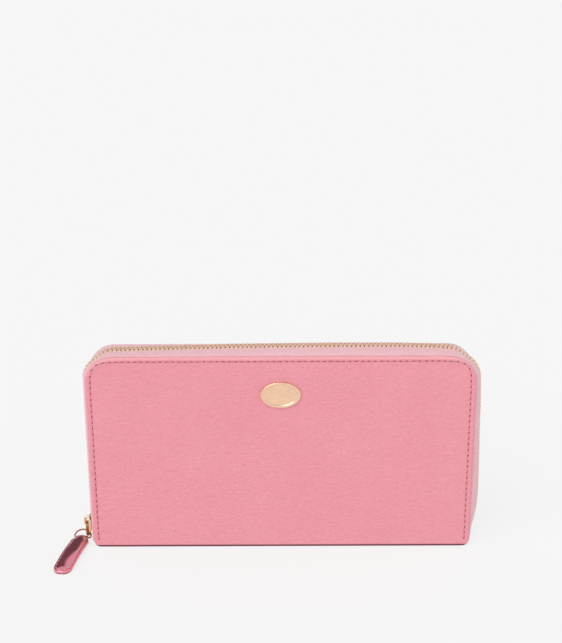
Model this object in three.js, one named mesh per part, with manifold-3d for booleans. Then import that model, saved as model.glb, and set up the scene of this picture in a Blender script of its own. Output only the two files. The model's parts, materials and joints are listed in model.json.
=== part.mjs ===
// A long zip-around wallet, closed and standing on its spine.
// Millimetres, +Z up. The front cover faces -Y and +X is to the right of someone facing it.
// The origin is the centre of the spine's underside.

import * as THREE from 'three';
import { mergeVertices } from 'three/addons/utils/BufferGeometryUtils.js';
import Module from 'manifold-3d';

const wasm = await Module();
wasm.setup();

// ---------------------------------------------------------------- driving dimensions

const coverWidth = 188.4;
const coverHeight = 101;
const coverRadius = 12.5; // upper corners of both covers
const depth = 21; // over both covers, the wallet closed
const layerGap = 0.1; // between glued or stacked sheets

const leatherThickness = 1.1;
const boardThickness = 0.7;
const liningThickness = 0.4;
const stripThickness = 0.3; // one stepped row of card slots
const stripTops = [75, 62, 49]; // from the lining towards the middle
const stripHalfWidth = 88; // two columns of bank cards side by side

const leatherBottom = 1.5; // the covers stop this far above the table
const innerBottom = 2.2; // boards, linings and tapes start above the spine's lining
const spineThickness = 1.2;
const spineLiningThickness = 0.5;

const tapeThickness = 0.5;
const tapeHem = 5.5; // width of tape glued in between cover and lining
const zipBulge = 2.2; // over the top, from the covers' edge out to the middle of the teeth
const zipBulgeLeft = 1.5; // and down each leg
const zipBulgeRight = 3.2;
const teethHalfThickness = 0.7;
const teethInnerEdge = 0.4; // from the parting line to the teeth's tips
const teethRootEdge = 1.2; // and to the roots between them
const teethOuterEdge = 3.1;
const teethPitch = 2.1;
const teethStart = 3.9; // lowest teeth above the table
const slackStart = 4; // below this height the tapes run in towards the spine
const slackShare = 0.35; // share of the bulge that is left at the tapes' lower ends

const pocketHalfWidth = 88;
const pocketHalfInside = 2.1;
const pocketPanel = 0.6;
const pocketBottom = 3;
const pocketTop = 80;
const bindingThickness = 0.4;

const coinZip = {
  plane: pocketTop + 0.4, // height of the middle of the small teeth
  halfLength: 80,
  tapeInner: 1.45,
  tapeHalfThickness: 0.2,
  teethInner: 0.35,
  teethOuter: 1.35,
  stopLength: 1.5,
};

const gussetThickness = 0.4;
const gussetTop = pocketTop - 2;
const gussetOuter = 92.8; // from the middle of the wallet to the gussets' sewn edges
const gussetFold = 88.6; // and to their inward fold

const zipSlider = {
  length: 8.6,
  halfWidth: 3.75,
  teethHalf: teethHalfThickness,
  play: 0.4,
  plate: 0.85,
  flange: 0.45,
  slotHalf: 0.6,
  postHalf: 0.25,
  strapHalf: 0.7,
  strapRise: 1.8,
  strapThickness: 0.8,
  foot: 4, // its lower end above the table, at rest against the stops
};

const coinSlider = {
  length: 8,
  halfWidth: 1.9,
  teethHalf: 0.5,
  play: 0.3,
  plate: 0.6,
  flange: 0.35,
  slotHalf: 0.4,
  postHalf: 0.15,
  strapHalf: 0.6,
  strapRise: 1.2,
  strapThickness: 0.6,
};

const sliderPlay = 0.3; // along the teeth, between a slider and the nearest stop or tooth
const sinkIn = 0.2; // how far joined pieces of a slider go into each other

const pullYaw = THREE.MathUtils.degToRad(8.3); // the tab points forward and to the left
const ringLean = THREE.MathUtils.degToRad(45); // the ring leans back from its bar
const ringRadius = 4.2;
const ringWire = 0.4;
const linkWire = 0.65;
const linkHalfWidth = 2.3;
const linkPlay = 0.15; // between the link's wire and the slider's metal
const linkBottom = 2.2;
const tabLength = 36;
const tabWidth = 9.4;
const tabNeck = 6;
const tabThickness = 2.3;

const emblemHeight = 82; // the plate's middle above the table
const emblemWidth = 19.5;
const emblemTall = 13.5;
const emblemThickness = 1.2;
const prongSpacing = 9;
const prongHalfWidth = 0.6;
const prongHalfHeight = 0.25;
const backplate = { halfWidth: 7, halfHeight: 3, thickness: 0.4 };

// ---------------------------------------------------------------- the stack of sheets

const halfDepth = depth / 2;
const leather = { outer: halfDepth, inner: halfDepth - leatherThickness };
const board = layerUnder(leather, boardThickness);
const lining = layerUnder(board, liningThickness);

// The next sheet towards the middle of the wallet, measured from its middle plane.
function layerUnder(layer, thickness) {
  const outer = layer.inner - layerGap;
  return { outer, inner: outer - thickness };
}

// ---------------------------------------------------------------- materials

function material(color, roughness, metalness) {
  return new THREE.MeshStandardMaterial({ color, roughness, metalness });
}

const pinkLeather = material(0xed9aa5, 0.55, 0);
const foldLeather = material(0xe68e9e, 0.6, 0);
const tapePink = material(0xecbec8, 0.85, 0);
const liningPink = material(0xd9a0a8, 0.8, 0);
const cardPink = material(0xe8a6ae, 0.6, 0);
const boardGrey = material(0xb9b0a6, 0.9, 0);
const paleGold = material(0xe9d3a6, 0.3, 1);
const richGold = material(0xc99a5b, 0.25, 1);

// ---------------------------------------------------------------- shape helpers

// The covers' outline in X and Z, drawn in from its edge by an inset, above a bottom edge.
function coverOutline(inset, bottom) {
  const halfWidth = coverWidth / 2 - inset;
  const top = coverHeight - inset;
  const radius = coverRadius - inset;
  const outline = new THREE.Shape();
  outline.moveTo(-halfWidth, bottom);
  outline.lineTo(halfWidth, bottom);
  outline.lineTo(halfWidth, top - radius);
  outline.absarc(halfWidth - radius, top - radius, radius, 0, Math.PI / 2);
  outline.absarc(radius - halfWidth, top - radius, radius, Math.PI / 2, Math.PI);
  return outline;
}

function rectangle(left, bottom, right, top, ShapeClass = THREE.Shape) {
  return new ShapeClass().setFromPoints([
    new THREE.Vector2(left, bottom),
    new THREE.Vector2(right, bottom),
    new THREE.Vector2(right, top),
    new THREE.Vector2(left, top),
  ]);
}

// A flat sheet whose outline is in X and Z, on the front (side -1) or the back (side 1).
function sheet(outline, layer, side) {
  const thickness = layer.outer - layer.inner;
  const geometry = new THREE.ExtrudeGeometry(outline, {
    depth: thickness,
    bevelEnabled: false,
    curveSegments: 7,
  });
  geometry.rotateX(Math.PI / 2);
  geometry.translate(0, side > 0 ? layer.outer : -layer.inner, 0);
  return geometry;
}

function box(low, high) {
  const size = high.map((value, axis) => value - low[axis]);
  const geometry = new THREE.BoxGeometry(...size);
  geometry.translate(...low.map((value, axis) => value + size[axis] / 2));
  return geometry;
}

// The outline of a ribbon of even thickness along an open line of points.
function ribbon(line, thickness) {
  const offset = (side) => line.map((point, index) => {
    const before = line[Math.max(index - 1, 0)];
    const after = line[Math.min(index + 1, line.length - 1)];
    const along = after.clone().sub(before).normalize();
    const across = new THREE.Vector2(-along.y, along.x);
    return point.clone().addScaledVector(across, side * thickness / 2);
  });
  return [...offset(-1), ...offset(1).reverse()];
}

// A solid through equal rings of points, closed at both ends with the section's triangles.
function solidThrough(rings, section) {
  const count = section.length;
  const positions = rings.flat().flatMap((point) => point.toArray());
  const triangles = [];
  for (let ring = 0; ring < rings.length - 1; ring += 1) {
    for (let corner = 0; corner < count; corner += 1) {
      const next = (corner + 1) % count;
      const low = ring * count;
      const high = low + count;
      triangles.push([low + corner, low + next, high + next]);
      triangles.push([low + corner, high + next, high + corner]);
    }
  }
  const last = (rings.length - 1) * count;
  for (const [a, b, c] of THREE.ShapeUtils.triangulateShape(section, [])) {
    triangles.push([a, c, b]);
    triangles.push([last + a, last + b, last + c]);
  }
  const geometry = new THREE.BufferGeometry();
  geometry.setAttribute('position', new THREE.Float32BufferAttribute(positions, 3));
  const outward = enclosedVolume(rings.flat(), triangles) > 0;
  geometry.setIndex(triangles.flatMap(([a, b, c]) => (outward ? [a, b, c] : [a, c, b])));
  return geometry;
}

function enclosedVolume(points, triangles) {
  const normal = new THREE.Vector3();
  let volume = 0;
  for (const [a, b, c] of triangles) {
    normal.crossVectors(points[b], points[c]);
    volume += points[a].dot(normal) / 6;
  }
  return volume;
}

// A wire bent into a closed loop that lies in the plane of two directions.
function wireLoop(path, origin, across, up, wireRadius) {
  const corners = path.getSpacedPoints(40).slice(0, -1);
  const points = corners.map((corner) => origin.clone()
    .addScaledVector(across, corner.x)
    .addScaledVector(up, corner.y));
  const curve = new THREE.CatmullRomCurve3(points, true);
  return new THREE.TubeGeometry(curve, 40, wireRadius, 8, true);
}

// ---------------------------------------------------------------- solids joined and cut

function toSolid(geometry) {
  const bare = geometry.clone();
  bare.deleteAttribute('normal');
  bare.deleteAttribute('uv');
  const merged = mergeVertices(bare);
  return new wasm.Manifold(new wasm.Mesh({
    numProp: 3,
    vertProperties: merged.attributes.position.array,
    triVerts: Uint32Array.from(merged.index.array),
  }));
}

function toGeometry(solid) {
  const mesh = solid.getMesh();
  const geometry = new THREE.BufferGeometry();
  geometry.setAttribute('position', new THREE.BufferAttribute(mesh.vertProperties, 3));
  geometry.setIndex(new THREE.BufferAttribute(mesh.triVerts, 1));
  return geometry;
}

function joined(geometries) {
  const solids = geometries.map(toSolid);
  return toGeometry(solids.reduce((whole, piece) => whole.add(piece)));
}

function cut(geometry, tool) {
  return toGeometry(toSolid(geometry).subtract(toSolid(tool)));
}

// ---------------------------------------------------------------- the outer zip

// The covers' edge from the foot of its left leg, over the top, to the foot of its right leg:
// the point and the direction out of the wallet at a distance along it.
function edgePoint(distance, leftFoot) {
  const legTop = coverHeight - coverRadius;
  const legX = coverWidth / 2;
  const cornerX = legX - coverRadius;
  const cornerLength = coverRadius * Math.PI / 2;
  let left = distance - (legTop - leftFoot);
  if (left < 0) {
    return { x: -legX, z: legTop + left, outX: -1, outZ: 0 };
  }
  if (left < cornerLength) {
    return cornerPoint(-cornerX, legTop, Math.PI - left / coverRadius);
  }
  left -= cornerLength;
  if (left < 2 * cornerX) {
    return { x: left - cornerX, z: coverHeight, outX: 0, outZ: 1 };
  }
  left -= 2 * cornerX;
  if (left < cornerLength) {
    return cornerPoint(cornerX, legTop, Math.PI / 2 - left / coverRadius);
  }
  return { x: legX, z: legTop - (left - cornerLength), outX: 1, outZ: 0 };
}

function cornerPoint(x, z, angle) {
  const outX = Math.cos(angle);
  const outZ = Math.sin(angle);
  return { x: x + coverRadius * outX, z: z + coverRadius * outZ, outX, outZ };
}

function edgeLength(leftFoot, rightFoot) {
  const legs = 2 * (coverHeight - coverRadius) - leftFoot - rightFoot;
  return legs + coverRadius * Math.PI + coverWidth - 2 * coverRadius;
}

// Distances at which a smooth band needs a ring of its own: its ends, where it has come out
// to its full bulge, and the steps round both corners.
function smoothDistances(leftFoot, rightFoot) {
  const leg = (foot) => coverHeight - coverRadius - foot;
  const cornerSteps = 7;
  const cornerStep = coverRadius * Math.PI / 2 / cornerSteps;
  const total = edgeLength(leftFoot, rightFoot);
  const distances = [0];
  if (leftFoot < slackStart) {
    distances.push(slackStart - leftFoot);
  }
  for (let step = 0; step <= cornerSteps; step += 1) {
    distances.push(leg(leftFoot) + step * cornerStep);
  }
  for (let step = cornerSteps; step >= 0; step -= 1) {
    distances.push(total - leg(rightFoot) - step * cornerStep);
  }
  if (rightFoot < slackStart) {
    distances.push(total - (slackStart - rightFoot));
  }
  return [...distances, total];
}

// How far the middle of the teeth stands out of the edge there.
function bulgeAt(station) {
  const leg = station.outX < 0 ? zipBulgeLeft : zipBulgeRight;
  const full = zipBulge + (leg - zipBulge) * station.outX ** 2;
  const height = THREE.MathUtils.clamp(station.z, innerBottom, slackStart);
  return full * THREE.MathUtils.mapLinear(height, innerBottom, slackStart, slackShare, 1);
}

// A band along the covers' edge. A section is drawn as distance out of the edge against
// distance from the wallet's middle plane, and may change from ring to ring.
function edgeBand(sectionAt, distances, leftFoot, side) {
  const rings = distances.map((distance, index) => {
    const station = edgePoint(distance, leftFoot);
    const shift = bulgeAt(station) - zipBulge;
    return sectionAt(index).map((corner) => {
      const share = THREE.MathUtils.clamp(corner.x / (zipBulge - teethHalfThickness), 0, 1);
      const out = corner.x + shift * share;
      const x = station.x + station.outX * out;
      const z = station.z + station.outZ * out;
      return new THREE.Vector3(x, side * corner.y, z);
    });
  });
  return solidThrough(rings, sectionAt(0));
}

function zipTape(side) {
  const section = tapeSection();
  const distances = smoothDistances(innerBottom, innerBottom);
  return edgeBand(() => section, distances, innerBottom, side);
}

// A row of teeth as one comb: its inner edge goes from a tip to a root and back each pitch.
function zipTeeth(leftFoot, side) {
  const total = edgeLength(leftFoot, teethStart);
  const halfPitches = 2 * Math.floor(total / teethPitch);
  const distances = [];
  for (let step = 0; step <= halfPitches; step += 1) {
    distances.push(total * step / halfPitches);
  }
  const tip = teethSection(teethInnerEdge);
  const root = teethSection(teethRootEdge);
  return edgeBand((index) => (index % 2 === 0 ? tip : root), distances, leftFoot, side);
}

// The tape runs flat between cover and lining, bulges out of the edge and ends at the teeth.
function tapeSection() {
  const hemPlane = (board.outer + board.inner) / 2;
  const bendStart = -0.3;
  const straightEnd = 4;
  const line = [new THREE.Vector2(-tapeHem, hemPlane)];
  const bendSteps = 6;
  for (let step = 0; step <= bendSteps; step += 1) {
    const angle = step / bendSteps * Math.PI / 2;
    line.push(new THREE.Vector2(
      bendStart + (zipBulge - bendStart) * Math.sin(angle),
      straightEnd + (hemPlane - straightEnd) * Math.cos(angle),
    ));
  }
  line.push(new THREE.Vector2(zipBulge, teethOuterEdge + layerGap));
  return ribbon(line, tapeThickness);
}

function teethSection(innerEdge) {
  return [
    new THREE.Vector2(zipBulge - teethHalfThickness, innerEdge),
    new THREE.Vector2(zipBulge + teethHalfThickness, innerEdge),
    new THREE.Vector2(zipBulge + teethHalfThickness, teethOuterEdge),
    new THREE.Vector2(zipBulge - teethHalfThickness, teethOuterEdge),
  ];
}

// A metal stop clamped on the tape's edge just below the lowest tooth of a row.
function endStop(across, side) {
  const halfThickness = 0.45;
  const height = 1.4;
  const x = across * (coverWidth / 2 + (across < 0 ? zipBulgeLeft : zipBulgeRight));
  const low = [x - halfThickness, teethInnerEdge, teethStart - layerGap - height];
  const high = [x + halfThickness, teethOuterEdge, teethStart - layerGap];
  const stop = box(low, high);
  if (side < 0) {
    stop.translate(0, -(teethInnerEdge + teethOuterEdge), 0);
  }
  return stop;
}

// ---------------------------------------------------------------- sliders and pulls

// A slider lies along X with its teeth in the plane Z = 0. Two plates are joined by the post
// that parts the rows, flanges hold the teeth in, and a strap on top takes the pull.
function sliderBody(size) {
  const { length, halfWidth, flange, slotHalf, postHalf, strapHalf } = size;
  const inner = size.teethHalf + size.play;
  const outer = inner + size.plate;
  const end = length / 2;
  const postStart = 0.3 - end;
  const postEnd = postStart + length * 0.28;
  const flangeEnd = end - 1;
  const strap = strapPlace(size);
  const pieces = [
    plate(length, halfWidth, inner, outer),
    plate(length, halfWidth, -outer, -inner),
    box([postStart, -postHalf, sinkIn - outer], [postEnd, postHalf, outer - sinkIn]),
  ];
  for (const side of [-1, 1]) {
    const near = side < 0 ? -halfWidth : halfWidth - flange;
    const far = near + flange;
    pieces.push(box([-flangeEnd, near, slotHalf], [flangeEnd, far, inner + sinkIn]));
    pieces.push(box([-flangeEnd, near, -inner - sinkIn], [flangeEnd, far, -slotHalf]));
  }
  const strapFoot = outer - sinkIn;
  pieces.push(box([strap.low, -strapHalf, strapFoot], [strap.lowInner, strapHalf, strap.top]));
  pieces.push(box([strap.highInner, -strapHalf, strapFoot], [strap.high, strapHalf, strap.top]));
  pieces.push(box([strap.low, -strapHalf, strap.under], [strap.high, strapHalf, strap.top]));
  return joined(pieces);
}

// One of a slider's plates: a rounded rectangle between two heights.
function plate(length, halfWidth, low, high) {
  const end = length / 2;
  const round = halfWidth * 0.4;
  const outline = new THREE.Shape();
  outline.moveTo(-end + round, -halfWidth);
  outline.absarc(end - round, -halfWidth + round, round, -Math.PI / 2, 0);
  outline.absarc(end - round, halfWidth - round, round, 0, Math.PI / 2);
  outline.absarc(-end + round, halfWidth - round, round, Math.PI / 2, Math.PI);
  outline.absarc(-end + round, -halfWidth + round, round, Math.PI, Math.PI * 1.5);
  const settings = { depth: high - low, bevelEnabled: false, curveSegments: 4 };
  const geometry = new THREE.ExtrudeGeometry(outline, settings);
  geometry.translate(0, 0, low);
  return geometry;
}

// Where a slider's strap stands along its length, and its heights.
function strapPlace(size) {
  const leg = 0.8;
  const low = -size.length * 0.16;
  const high = size.length * 0.43;
  const under = size.teethHalf + size.play + size.plate + size.strapRise;
  return {
    low,
    high,
    lowInner: low + leg,
    highInner: high - leg,
    under,
    top: under + size.strapThickness,
  };
}

// The main slider stands on the left leg of the zip, its outer plate facing -X.
const sliderMiddle = zipSlider.foot + zipSlider.length / 2;
const zipPlaneX = -(coverWidth / 2 + zipBulgeLeft);
const zipStrap = strapPlace(zipSlider);
const platesOut = zipSlider.teethHalf + zipSlider.play + zipSlider.plate;
const linkX = zipPlaneX - platesOut - linkWire - linkPlay;
const linkTop = sliderMiddle + zipStrap.lowInner + linkWire + linkPlay;

// The ring's bar lies on the table in front of the link, inside the tab's folded end.
const barMiddle = new THREE.Vector3(-101.2, -2.4, 1.2);
const barAlong = new THREE.Vector3(Math.cos(pullYaw), -Math.sin(pullYaw), 0);
const backward = new THREE.Vector3(Math.sin(pullYaw), Math.cos(pullYaw), 0);
const upright = new THREE.Vector3(0, 0, 1);
const ringUp = backward.clone().multiplyScalar(Math.sin(ringLean))
  .addScaledVector(upright, Math.cos(ringLean));

// A cast oval link that hangs from the slider's strap.
function pullLink() {
  const straight = linkTop - linkBottom - 2 * linkHalfWidth;
  const oval = new THREE.Path();
  oval.absarc(0, straight / 2, linkHalfWidth, 0, Math.PI);
  oval.absarc(0, -straight / 2, linkHalfWidth, Math.PI, 2 * Math.PI);
  oval.closePath();
  const middle = new THREE.Vector3(linkX, 0, (linkTop + linkBottom) / 2);
  return wireLoop(oval, middle, new THREE.Vector3(0, 1, 0), upright, linkWire);
}

// A wire ring with one straight side, the bar, which goes through the tab's fold.
function pullRing() {
  const corner = 0.8;
  const loop = new THREE.Path();
  loop.moveTo(corner - ringRadius, 0);
  loop.lineTo(ringRadius - corner, 0);
  loop.absarc(ringRadius - corner, corner, corner, -Math.PI / 2, 0);
  loop.absellipse(0, corner, ringRadius, ringRadius - corner, 0, Math.PI);
  loop.absarc(corner - ringRadius, corner, corner, Math.PI, Math.PI * 1.5);
  return wireLoop(loop, barMiddle, barAlong, ringUp, ringWire);
}

// The leather tab lies flat, its neck folded around the ring's bar.
function pullTab() {
  const neckBehind = 0.85;
  const neckEnd = 1;
  const flareEnd = 7;
  const tunnelRadius = ringWire + 0.15;
  const half = tabWidth / 2;
  const outline = new THREE.Shape();
  outline.moveTo(tabNeck / 2, neckBehind);
  outline.lineTo(-tabNeck / 2, neckBehind);
  outline.lineTo(-tabNeck / 2, -neckEnd);
  outline.lineTo(-half, -flareEnd);
  outline.lineTo(-half, half - tabLength);
  outline.absarc(0, half - tabLength, half, Math.PI, 2 * Math.PI);
  outline.lineTo(half, -flareEnd);
  outline.lineTo(tabNeck / 2, -neckEnd);
  const settings = { depth: tabThickness, bevelEnabled: false, curveSegments: 8 };
  const slab = new THREE.ExtrudeGeometry(outline, settings);
  slab.translate(0, 0, -tabThickness / 2);
  const tunnel = new THREE.CylinderGeometry(tunnelRadius, tunnelRadius, tabWidth, 10);
  tunnel.rotateZ(Math.PI / 2);
  return cut(slab, tunnel);
}

// A flat metal puller with an eye that goes under the small slider's strap.
function coinPuller() {
  const half = 2;
  const reach = 14;
  const rod = 0.8;
  const eyeLength = 3.2;
  const eyeHalf = 0.95;
  const outline = new THREE.Shape();
  outline.moveTo(-rod / 2, -half);
  outline.lineTo(reach - half, -half);
  outline.absarc(reach - half, 0, half, -Math.PI / 2, Math.PI / 2);
  outline.lineTo(-rod / 2, half);
  outline.holes.push(rectangle(rod / 2, -eyeHalf, rod / 2 + eyeLength, eyeHalf, THREE.Path));
  const settings = { depth: rod, bevelEnabled: false, curveSegments: 8 };
  const geometry = new THREE.ExtrudeGeometry(outline, settings);
  geometry.translate(0, 0, -rod / 2);
  return geometry;
}

// ---------------------------------------------------------------- covers and their inside

// The emblem's two prongs, from near the plate to a depth, with some play all round.
function prongs(depthFrom, depthTo, play) {
  return [-1, 1].map((side) => {
    const x = side * prongSpacing / 2;
    return box(
      [x - prongHalfWidth - play, -depthFrom, emblemHeight - prongHalfHeight - play],
      [x + prongHalfWidth + play, -depthTo, emblemHeight + prongHalfHeight + play],
    );
  });
}

function cutProngSlots(geometry) {
  const slotPlay = 0.3;
  return cut(geometry, joined(prongs(halfDepth + 1, lining.outer, slotPlay)));
}

function coverLeather(side) {
  const whole = sheet(coverOutline(0, leatherBottom), leather, side);
  return side < 0 ? cutProngSlots(whole) : whole;
}

function coverBoard(side) {
  const tapeClearance = 1;
  const outline = coverOutline(tapeHem + tapeClearance, innerBottom);
  if (side < 0) {
    const room = 0.5;
    const reachX = backplate.halfWidth + room;
    const reachZ = backplate.halfHeight + room;
    outline.holes.push(rectangle(
      -reachX,
      emblemHeight - reachZ,
      reachX,
      emblemHeight + reachZ,
      THREE.Path,
    ));
  }
  return sheet(outline, board, side);
}

function coverLining(side) {
  const edgeInset = 1;
  return sheet(coverOutline(edgeInset, innerBottom), lining, side);
}

// An oval plate outside the cover with two prongs through the leather.
function emblemPlate() {
  const outline = new THREE.Shape();
  outline.absellipse(0, emblemHeight, emblemWidth / 2, emblemTall / 2, 0, 2 * Math.PI);
  const face = { outer: halfDepth + layerGap + emblemThickness, inner: halfDepth + layerGap };
  const root = 0.3;
  return joined([sheet(outline, face, -1), ...prongs(face.inner + root, board.inner, 0)]);
}

// The small plate behind the leather that the prongs go through.
function emblemBackplate() {
  const outline = rectangle(
    -backplate.halfWidth,
    emblemHeight - backplate.halfHeight,
    backplate.halfWidth,
    emblemHeight + backplate.halfHeight,
  );
  const outer = board.outer - layerGap;
  return cutProngSlots(sheet(outline, { outer, inner: outer - backplate.thickness }, -1));
}

// A side gusset folded inwards between a cover's lining and the coin pocket.
function gusset(across, side) {
  const clearance = gussetThickness / 2 + layerGap;
  const nearPocket = pocketHalfInside + pocketPanel + clearance;
  const nearLining = lining.inner - clearance;
  const fold = (nearPocket + nearLining) / 2;
  const line = [
    new THREE.Vector2(across * gussetOuter, side * nearLining),
    new THREE.Vector2(across * gussetFold, side * fold),
    new THREE.Vector2(across * gussetOuter, side * nearPocket),
  ];
  const outline = new THREE.Shape(ribbon(line, gussetThickness));
  const height = gussetTop - pocketBottom;
  const geometry = new THREE.ExtrudeGeometry(outline, { depth: height, bevelEnabled: false });
  geometry.translate(0, 0, pocketBottom);
  return geometry;
}

// ---------------------------------------------------------------- the assembly

const wallet = new THREE.Group();

function addBody() {
  const body = new THREE.Group();
  wallet.add(body);
  return body;
}

function addNode(body, name, geometry, look) {
  const mesh = new THREE.Mesh(geometry, look);
  mesh.name = name;
  body.add(mesh);
  return mesh;
}

// A cover with its board, lining, card strips and half of the outer zip.
function addCover(body, name, side) {
  addNode(body, `${name}_cover_leather`, coverLeather(side), pinkLeather);
  addNode(body, `${name}_board`, coverBoard(side), boardGrey);
  addNode(body, `${name}_lining`, coverLining(side), liningPink);
  let layer = lining;
  stripTops.forEach((top, index) => {
    layer = layerUnder(layer, stripThickness);
    const outline = rectangle(-stripHalfWidth, innerBottom, stripHalfWidth, top);
    addNode(body, `${name}_card_strip_${index + 1}`, sheet(outline, layer, side), cardPink);
  });
  const aboveSlider = zipSlider.foot + zipSlider.length + sliderPlay;
  const leftStart = side < 0 ? aboveSlider : teethStart;
  addNode(body, `${name}_zip_tape`, zipTape(side), tapePink);
  addNode(body, `${name}_zip_teeth`, zipTeeth(leftStart, side), paleGold);
  addNode(body, `${name}_zip_stop_left`, endStop(-1, side), paleGold);
  addNode(body, `${name}_zip_stop_right`, endStop(1, side), paleGold);
}

function addSpine(body) {
  const halfWidth = coverWidth / 2;
  const liningInset = 2;
  const liningLow = spineThickness + layerGap;
  const base = box([-halfWidth, -halfDepth, 0], [halfWidth, halfDepth, spineThickness]);
  const inside = box(
    [liningInset - halfWidth, liningInset - halfDepth, liningLow],
    [halfWidth - liningInset, halfDepth - liningInset, liningLow + spineLiningThickness],
  );
  addNode(body, 'spine_leather', base, foldLeather);
  addNode(body, 'spine_lining', inside, liningPink);
}

function addGussets(body, name, side) {
  addNode(body, `${name}_gusset_left`, gusset(-1, side), liningPink);
  addNode(body, `${name}_gusset_right`, gusset(1, side), liningPink);
}

// The zipped coin pocket in the middle: two panels, closed below and at both sides.
function addCoinPocket(body) {
  const panel = { outer: pocketHalfInside + pocketPanel, inner: pocketHalfInside };
  const face = rectangle(-pocketHalfWidth, pocketBottom, pocketHalfWidth, pocketTop);
  addNode(body, 'coin_panel_front', sheet(face, panel, -1), liningPink);
  addNode(body, 'coin_panel_back', sheet(face, panel, 1), liningPink);
  const bindingLow = pocketBottom - layerGap - bindingThickness;
  const bottom = box(
    [-pocketHalfWidth, -panel.outer, bindingLow],
    [pocketHalfWidth, panel.outer, pocketBottom - layerGap],
  );
  addNode(body, 'coin_binding_bottom', bottom, cardPink);
  const sideInner = pocketHalfWidth + layerGap;
  const sideOuter = sideInner + bindingThickness;
  const right = box([sideInner, -panel.outer, pocketBottom], [sideOuter, panel.outer, pocketTop]);
  const left = box([-sideOuter, -panel.outer, pocketBottom], [-sideInner, panel.outer, pocketTop]);
  addNode(body, 'coin_binding_left', left, cardPink);
  addNode(body, 'coin_binding_right', right, cardPink);
}

// The coin pocket's own zip, straight along its top.
function addCoinZip(body) {
  const { plane, halfLength, tapeHalfThickness } = coinZip;
  const tapeOuter = pocketHalfInside + pocketPanel;
  const { teethHalf } = coinSlider;
  for (const [name, side] of [['front', -1], ['back', 1]]) {
    const [tapeLow, tapeHigh] = [side * coinZip.tapeInner, side * tapeOuter].sort((a, b) => a - b);
    const tape = box(
      [-pocketHalfWidth, tapeLow, plane - tapeHalfThickness],
      [pocketHalfWidth, tapeHigh, plane + tapeHalfThickness],
    );
    const edges = [side * coinZip.teethInner, side * coinZip.teethOuter];
    const [rowLow, rowHigh] = edges.sort((a, b) => a - b);
    const row = box(
      [-halfLength, rowLow, plane - teethHalf],
      [halfLength, rowHigh, plane + teethHalf],
    );
    addNode(body, `coin_zip_tape_${name}`, tape, tapePink);
    addNode(body, `coin_zip_teeth_${name}`, row, paleGold);
  }
  for (const [name, side] of [['left', -1], ['right', 1]]) {
    const near = side * (halfLength + layerGap);
    const far = near + side * coinZip.stopLength;
    const stop = box(
      [Math.min(near, far), -coinZip.teethOuter, plane - teethHalf],
      [Math.max(near, far), coinZip.teethOuter, plane + teethHalf],
    );
    addNode(body, `coin_zip_stop_${name}`, stop, paleGold);
  }
}

const backHalf = addBody();
addSpine(backHalf);
addCover(backHalf, 'back', 1);
addGussets(backHalf, 'back', 1);

const coinPocket = addBody();
addCoinPocket(coinPocket);
addCoinZip(coinPocket);

const frontHalf = addBody();
addCover(frontHalf, 'front', -1);
addGussets(frontHalf, 'front', -1);
addNode(frontHalf, 'emblem_plate', emblemPlate(), paleGold);
addNode(frontHalf, 'emblem_backplate', emblemBackplate(), richGold);

const pullChain = addBody();
const slider = addNode(pullChain, 'zip_slider', sliderBody(zipSlider), paleGold);
slider.rotation.y = -Math.PI / 2;
slider.position.set(zipPlaneX, 0, sliderMiddle);
addNode(pullChain, 'pull_link', pullLink(), richGold);
addNode(pullChain, 'pull_ring', pullRing(), richGold);
const tab = addNode(pullChain, 'pull_tab', pullTab(), pinkLeather);
tab.rotation.z = -pullYaw;
tab.position.copy(barMiddle);

const coinChain = addBody();
const coinSliderX = coinSlider.length / 2 + sliderPlay - coinZip.halfLength;
const coinStrap = strapPlace(coinSlider);
const smallSlider = addNode(coinChain, 'coin_slider', sliderBody(coinSlider), paleGold);
smallSlider.position.set(coinSliderX, 0, coinZip.plane);
const puller = addNode(coinChain, 'coin_puller', coinPuller(), paleGold);
const underStrap = 0.6; // from the strap's metal to the middle of the puller's rod
const pullerX = coinSliderX + coinStrap.highInner - underStrap;
puller.position.set(pullerX, 0, coinZip.plane + coinStrap.under - underStrap);

export default wallet;
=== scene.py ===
import json
import math

import bmesh
import bpy
import numpy as np
from mathutils import Matrix, Vector, noise


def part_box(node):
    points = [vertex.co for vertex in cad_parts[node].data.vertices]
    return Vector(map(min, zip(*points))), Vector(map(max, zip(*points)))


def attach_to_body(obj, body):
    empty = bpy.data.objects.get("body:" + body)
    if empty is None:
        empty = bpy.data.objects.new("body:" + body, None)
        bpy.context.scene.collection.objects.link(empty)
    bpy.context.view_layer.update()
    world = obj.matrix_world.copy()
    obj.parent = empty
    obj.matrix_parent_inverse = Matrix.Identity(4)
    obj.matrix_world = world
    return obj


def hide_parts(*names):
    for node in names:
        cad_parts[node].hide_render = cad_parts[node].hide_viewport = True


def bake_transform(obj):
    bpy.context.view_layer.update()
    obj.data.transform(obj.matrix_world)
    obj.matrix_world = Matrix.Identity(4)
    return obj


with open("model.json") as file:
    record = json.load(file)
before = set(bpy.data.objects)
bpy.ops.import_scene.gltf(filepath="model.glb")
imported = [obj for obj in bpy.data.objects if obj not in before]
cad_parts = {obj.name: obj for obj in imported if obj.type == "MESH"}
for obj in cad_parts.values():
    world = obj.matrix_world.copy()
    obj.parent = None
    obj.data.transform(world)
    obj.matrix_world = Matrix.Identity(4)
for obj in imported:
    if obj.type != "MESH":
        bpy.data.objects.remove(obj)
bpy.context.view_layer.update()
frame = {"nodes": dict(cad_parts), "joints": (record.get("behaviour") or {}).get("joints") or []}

# Millimetres from here on, in the row frame: the front cover faces -Y and the wallet stands on z = 0.

MILLI = 0.001


def corners(node):
    """A CAD node's lowest and highest corner in millimetres."""
    low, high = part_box(node)
    return np.array(low) / MILLI, np.array(high) / MILLI


def middle_and_half(node):
    """The middle of a CAD node's box and half its size."""
    low, high = corners(node)
    return (low + high) / 2, (high - low) / 2


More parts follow.
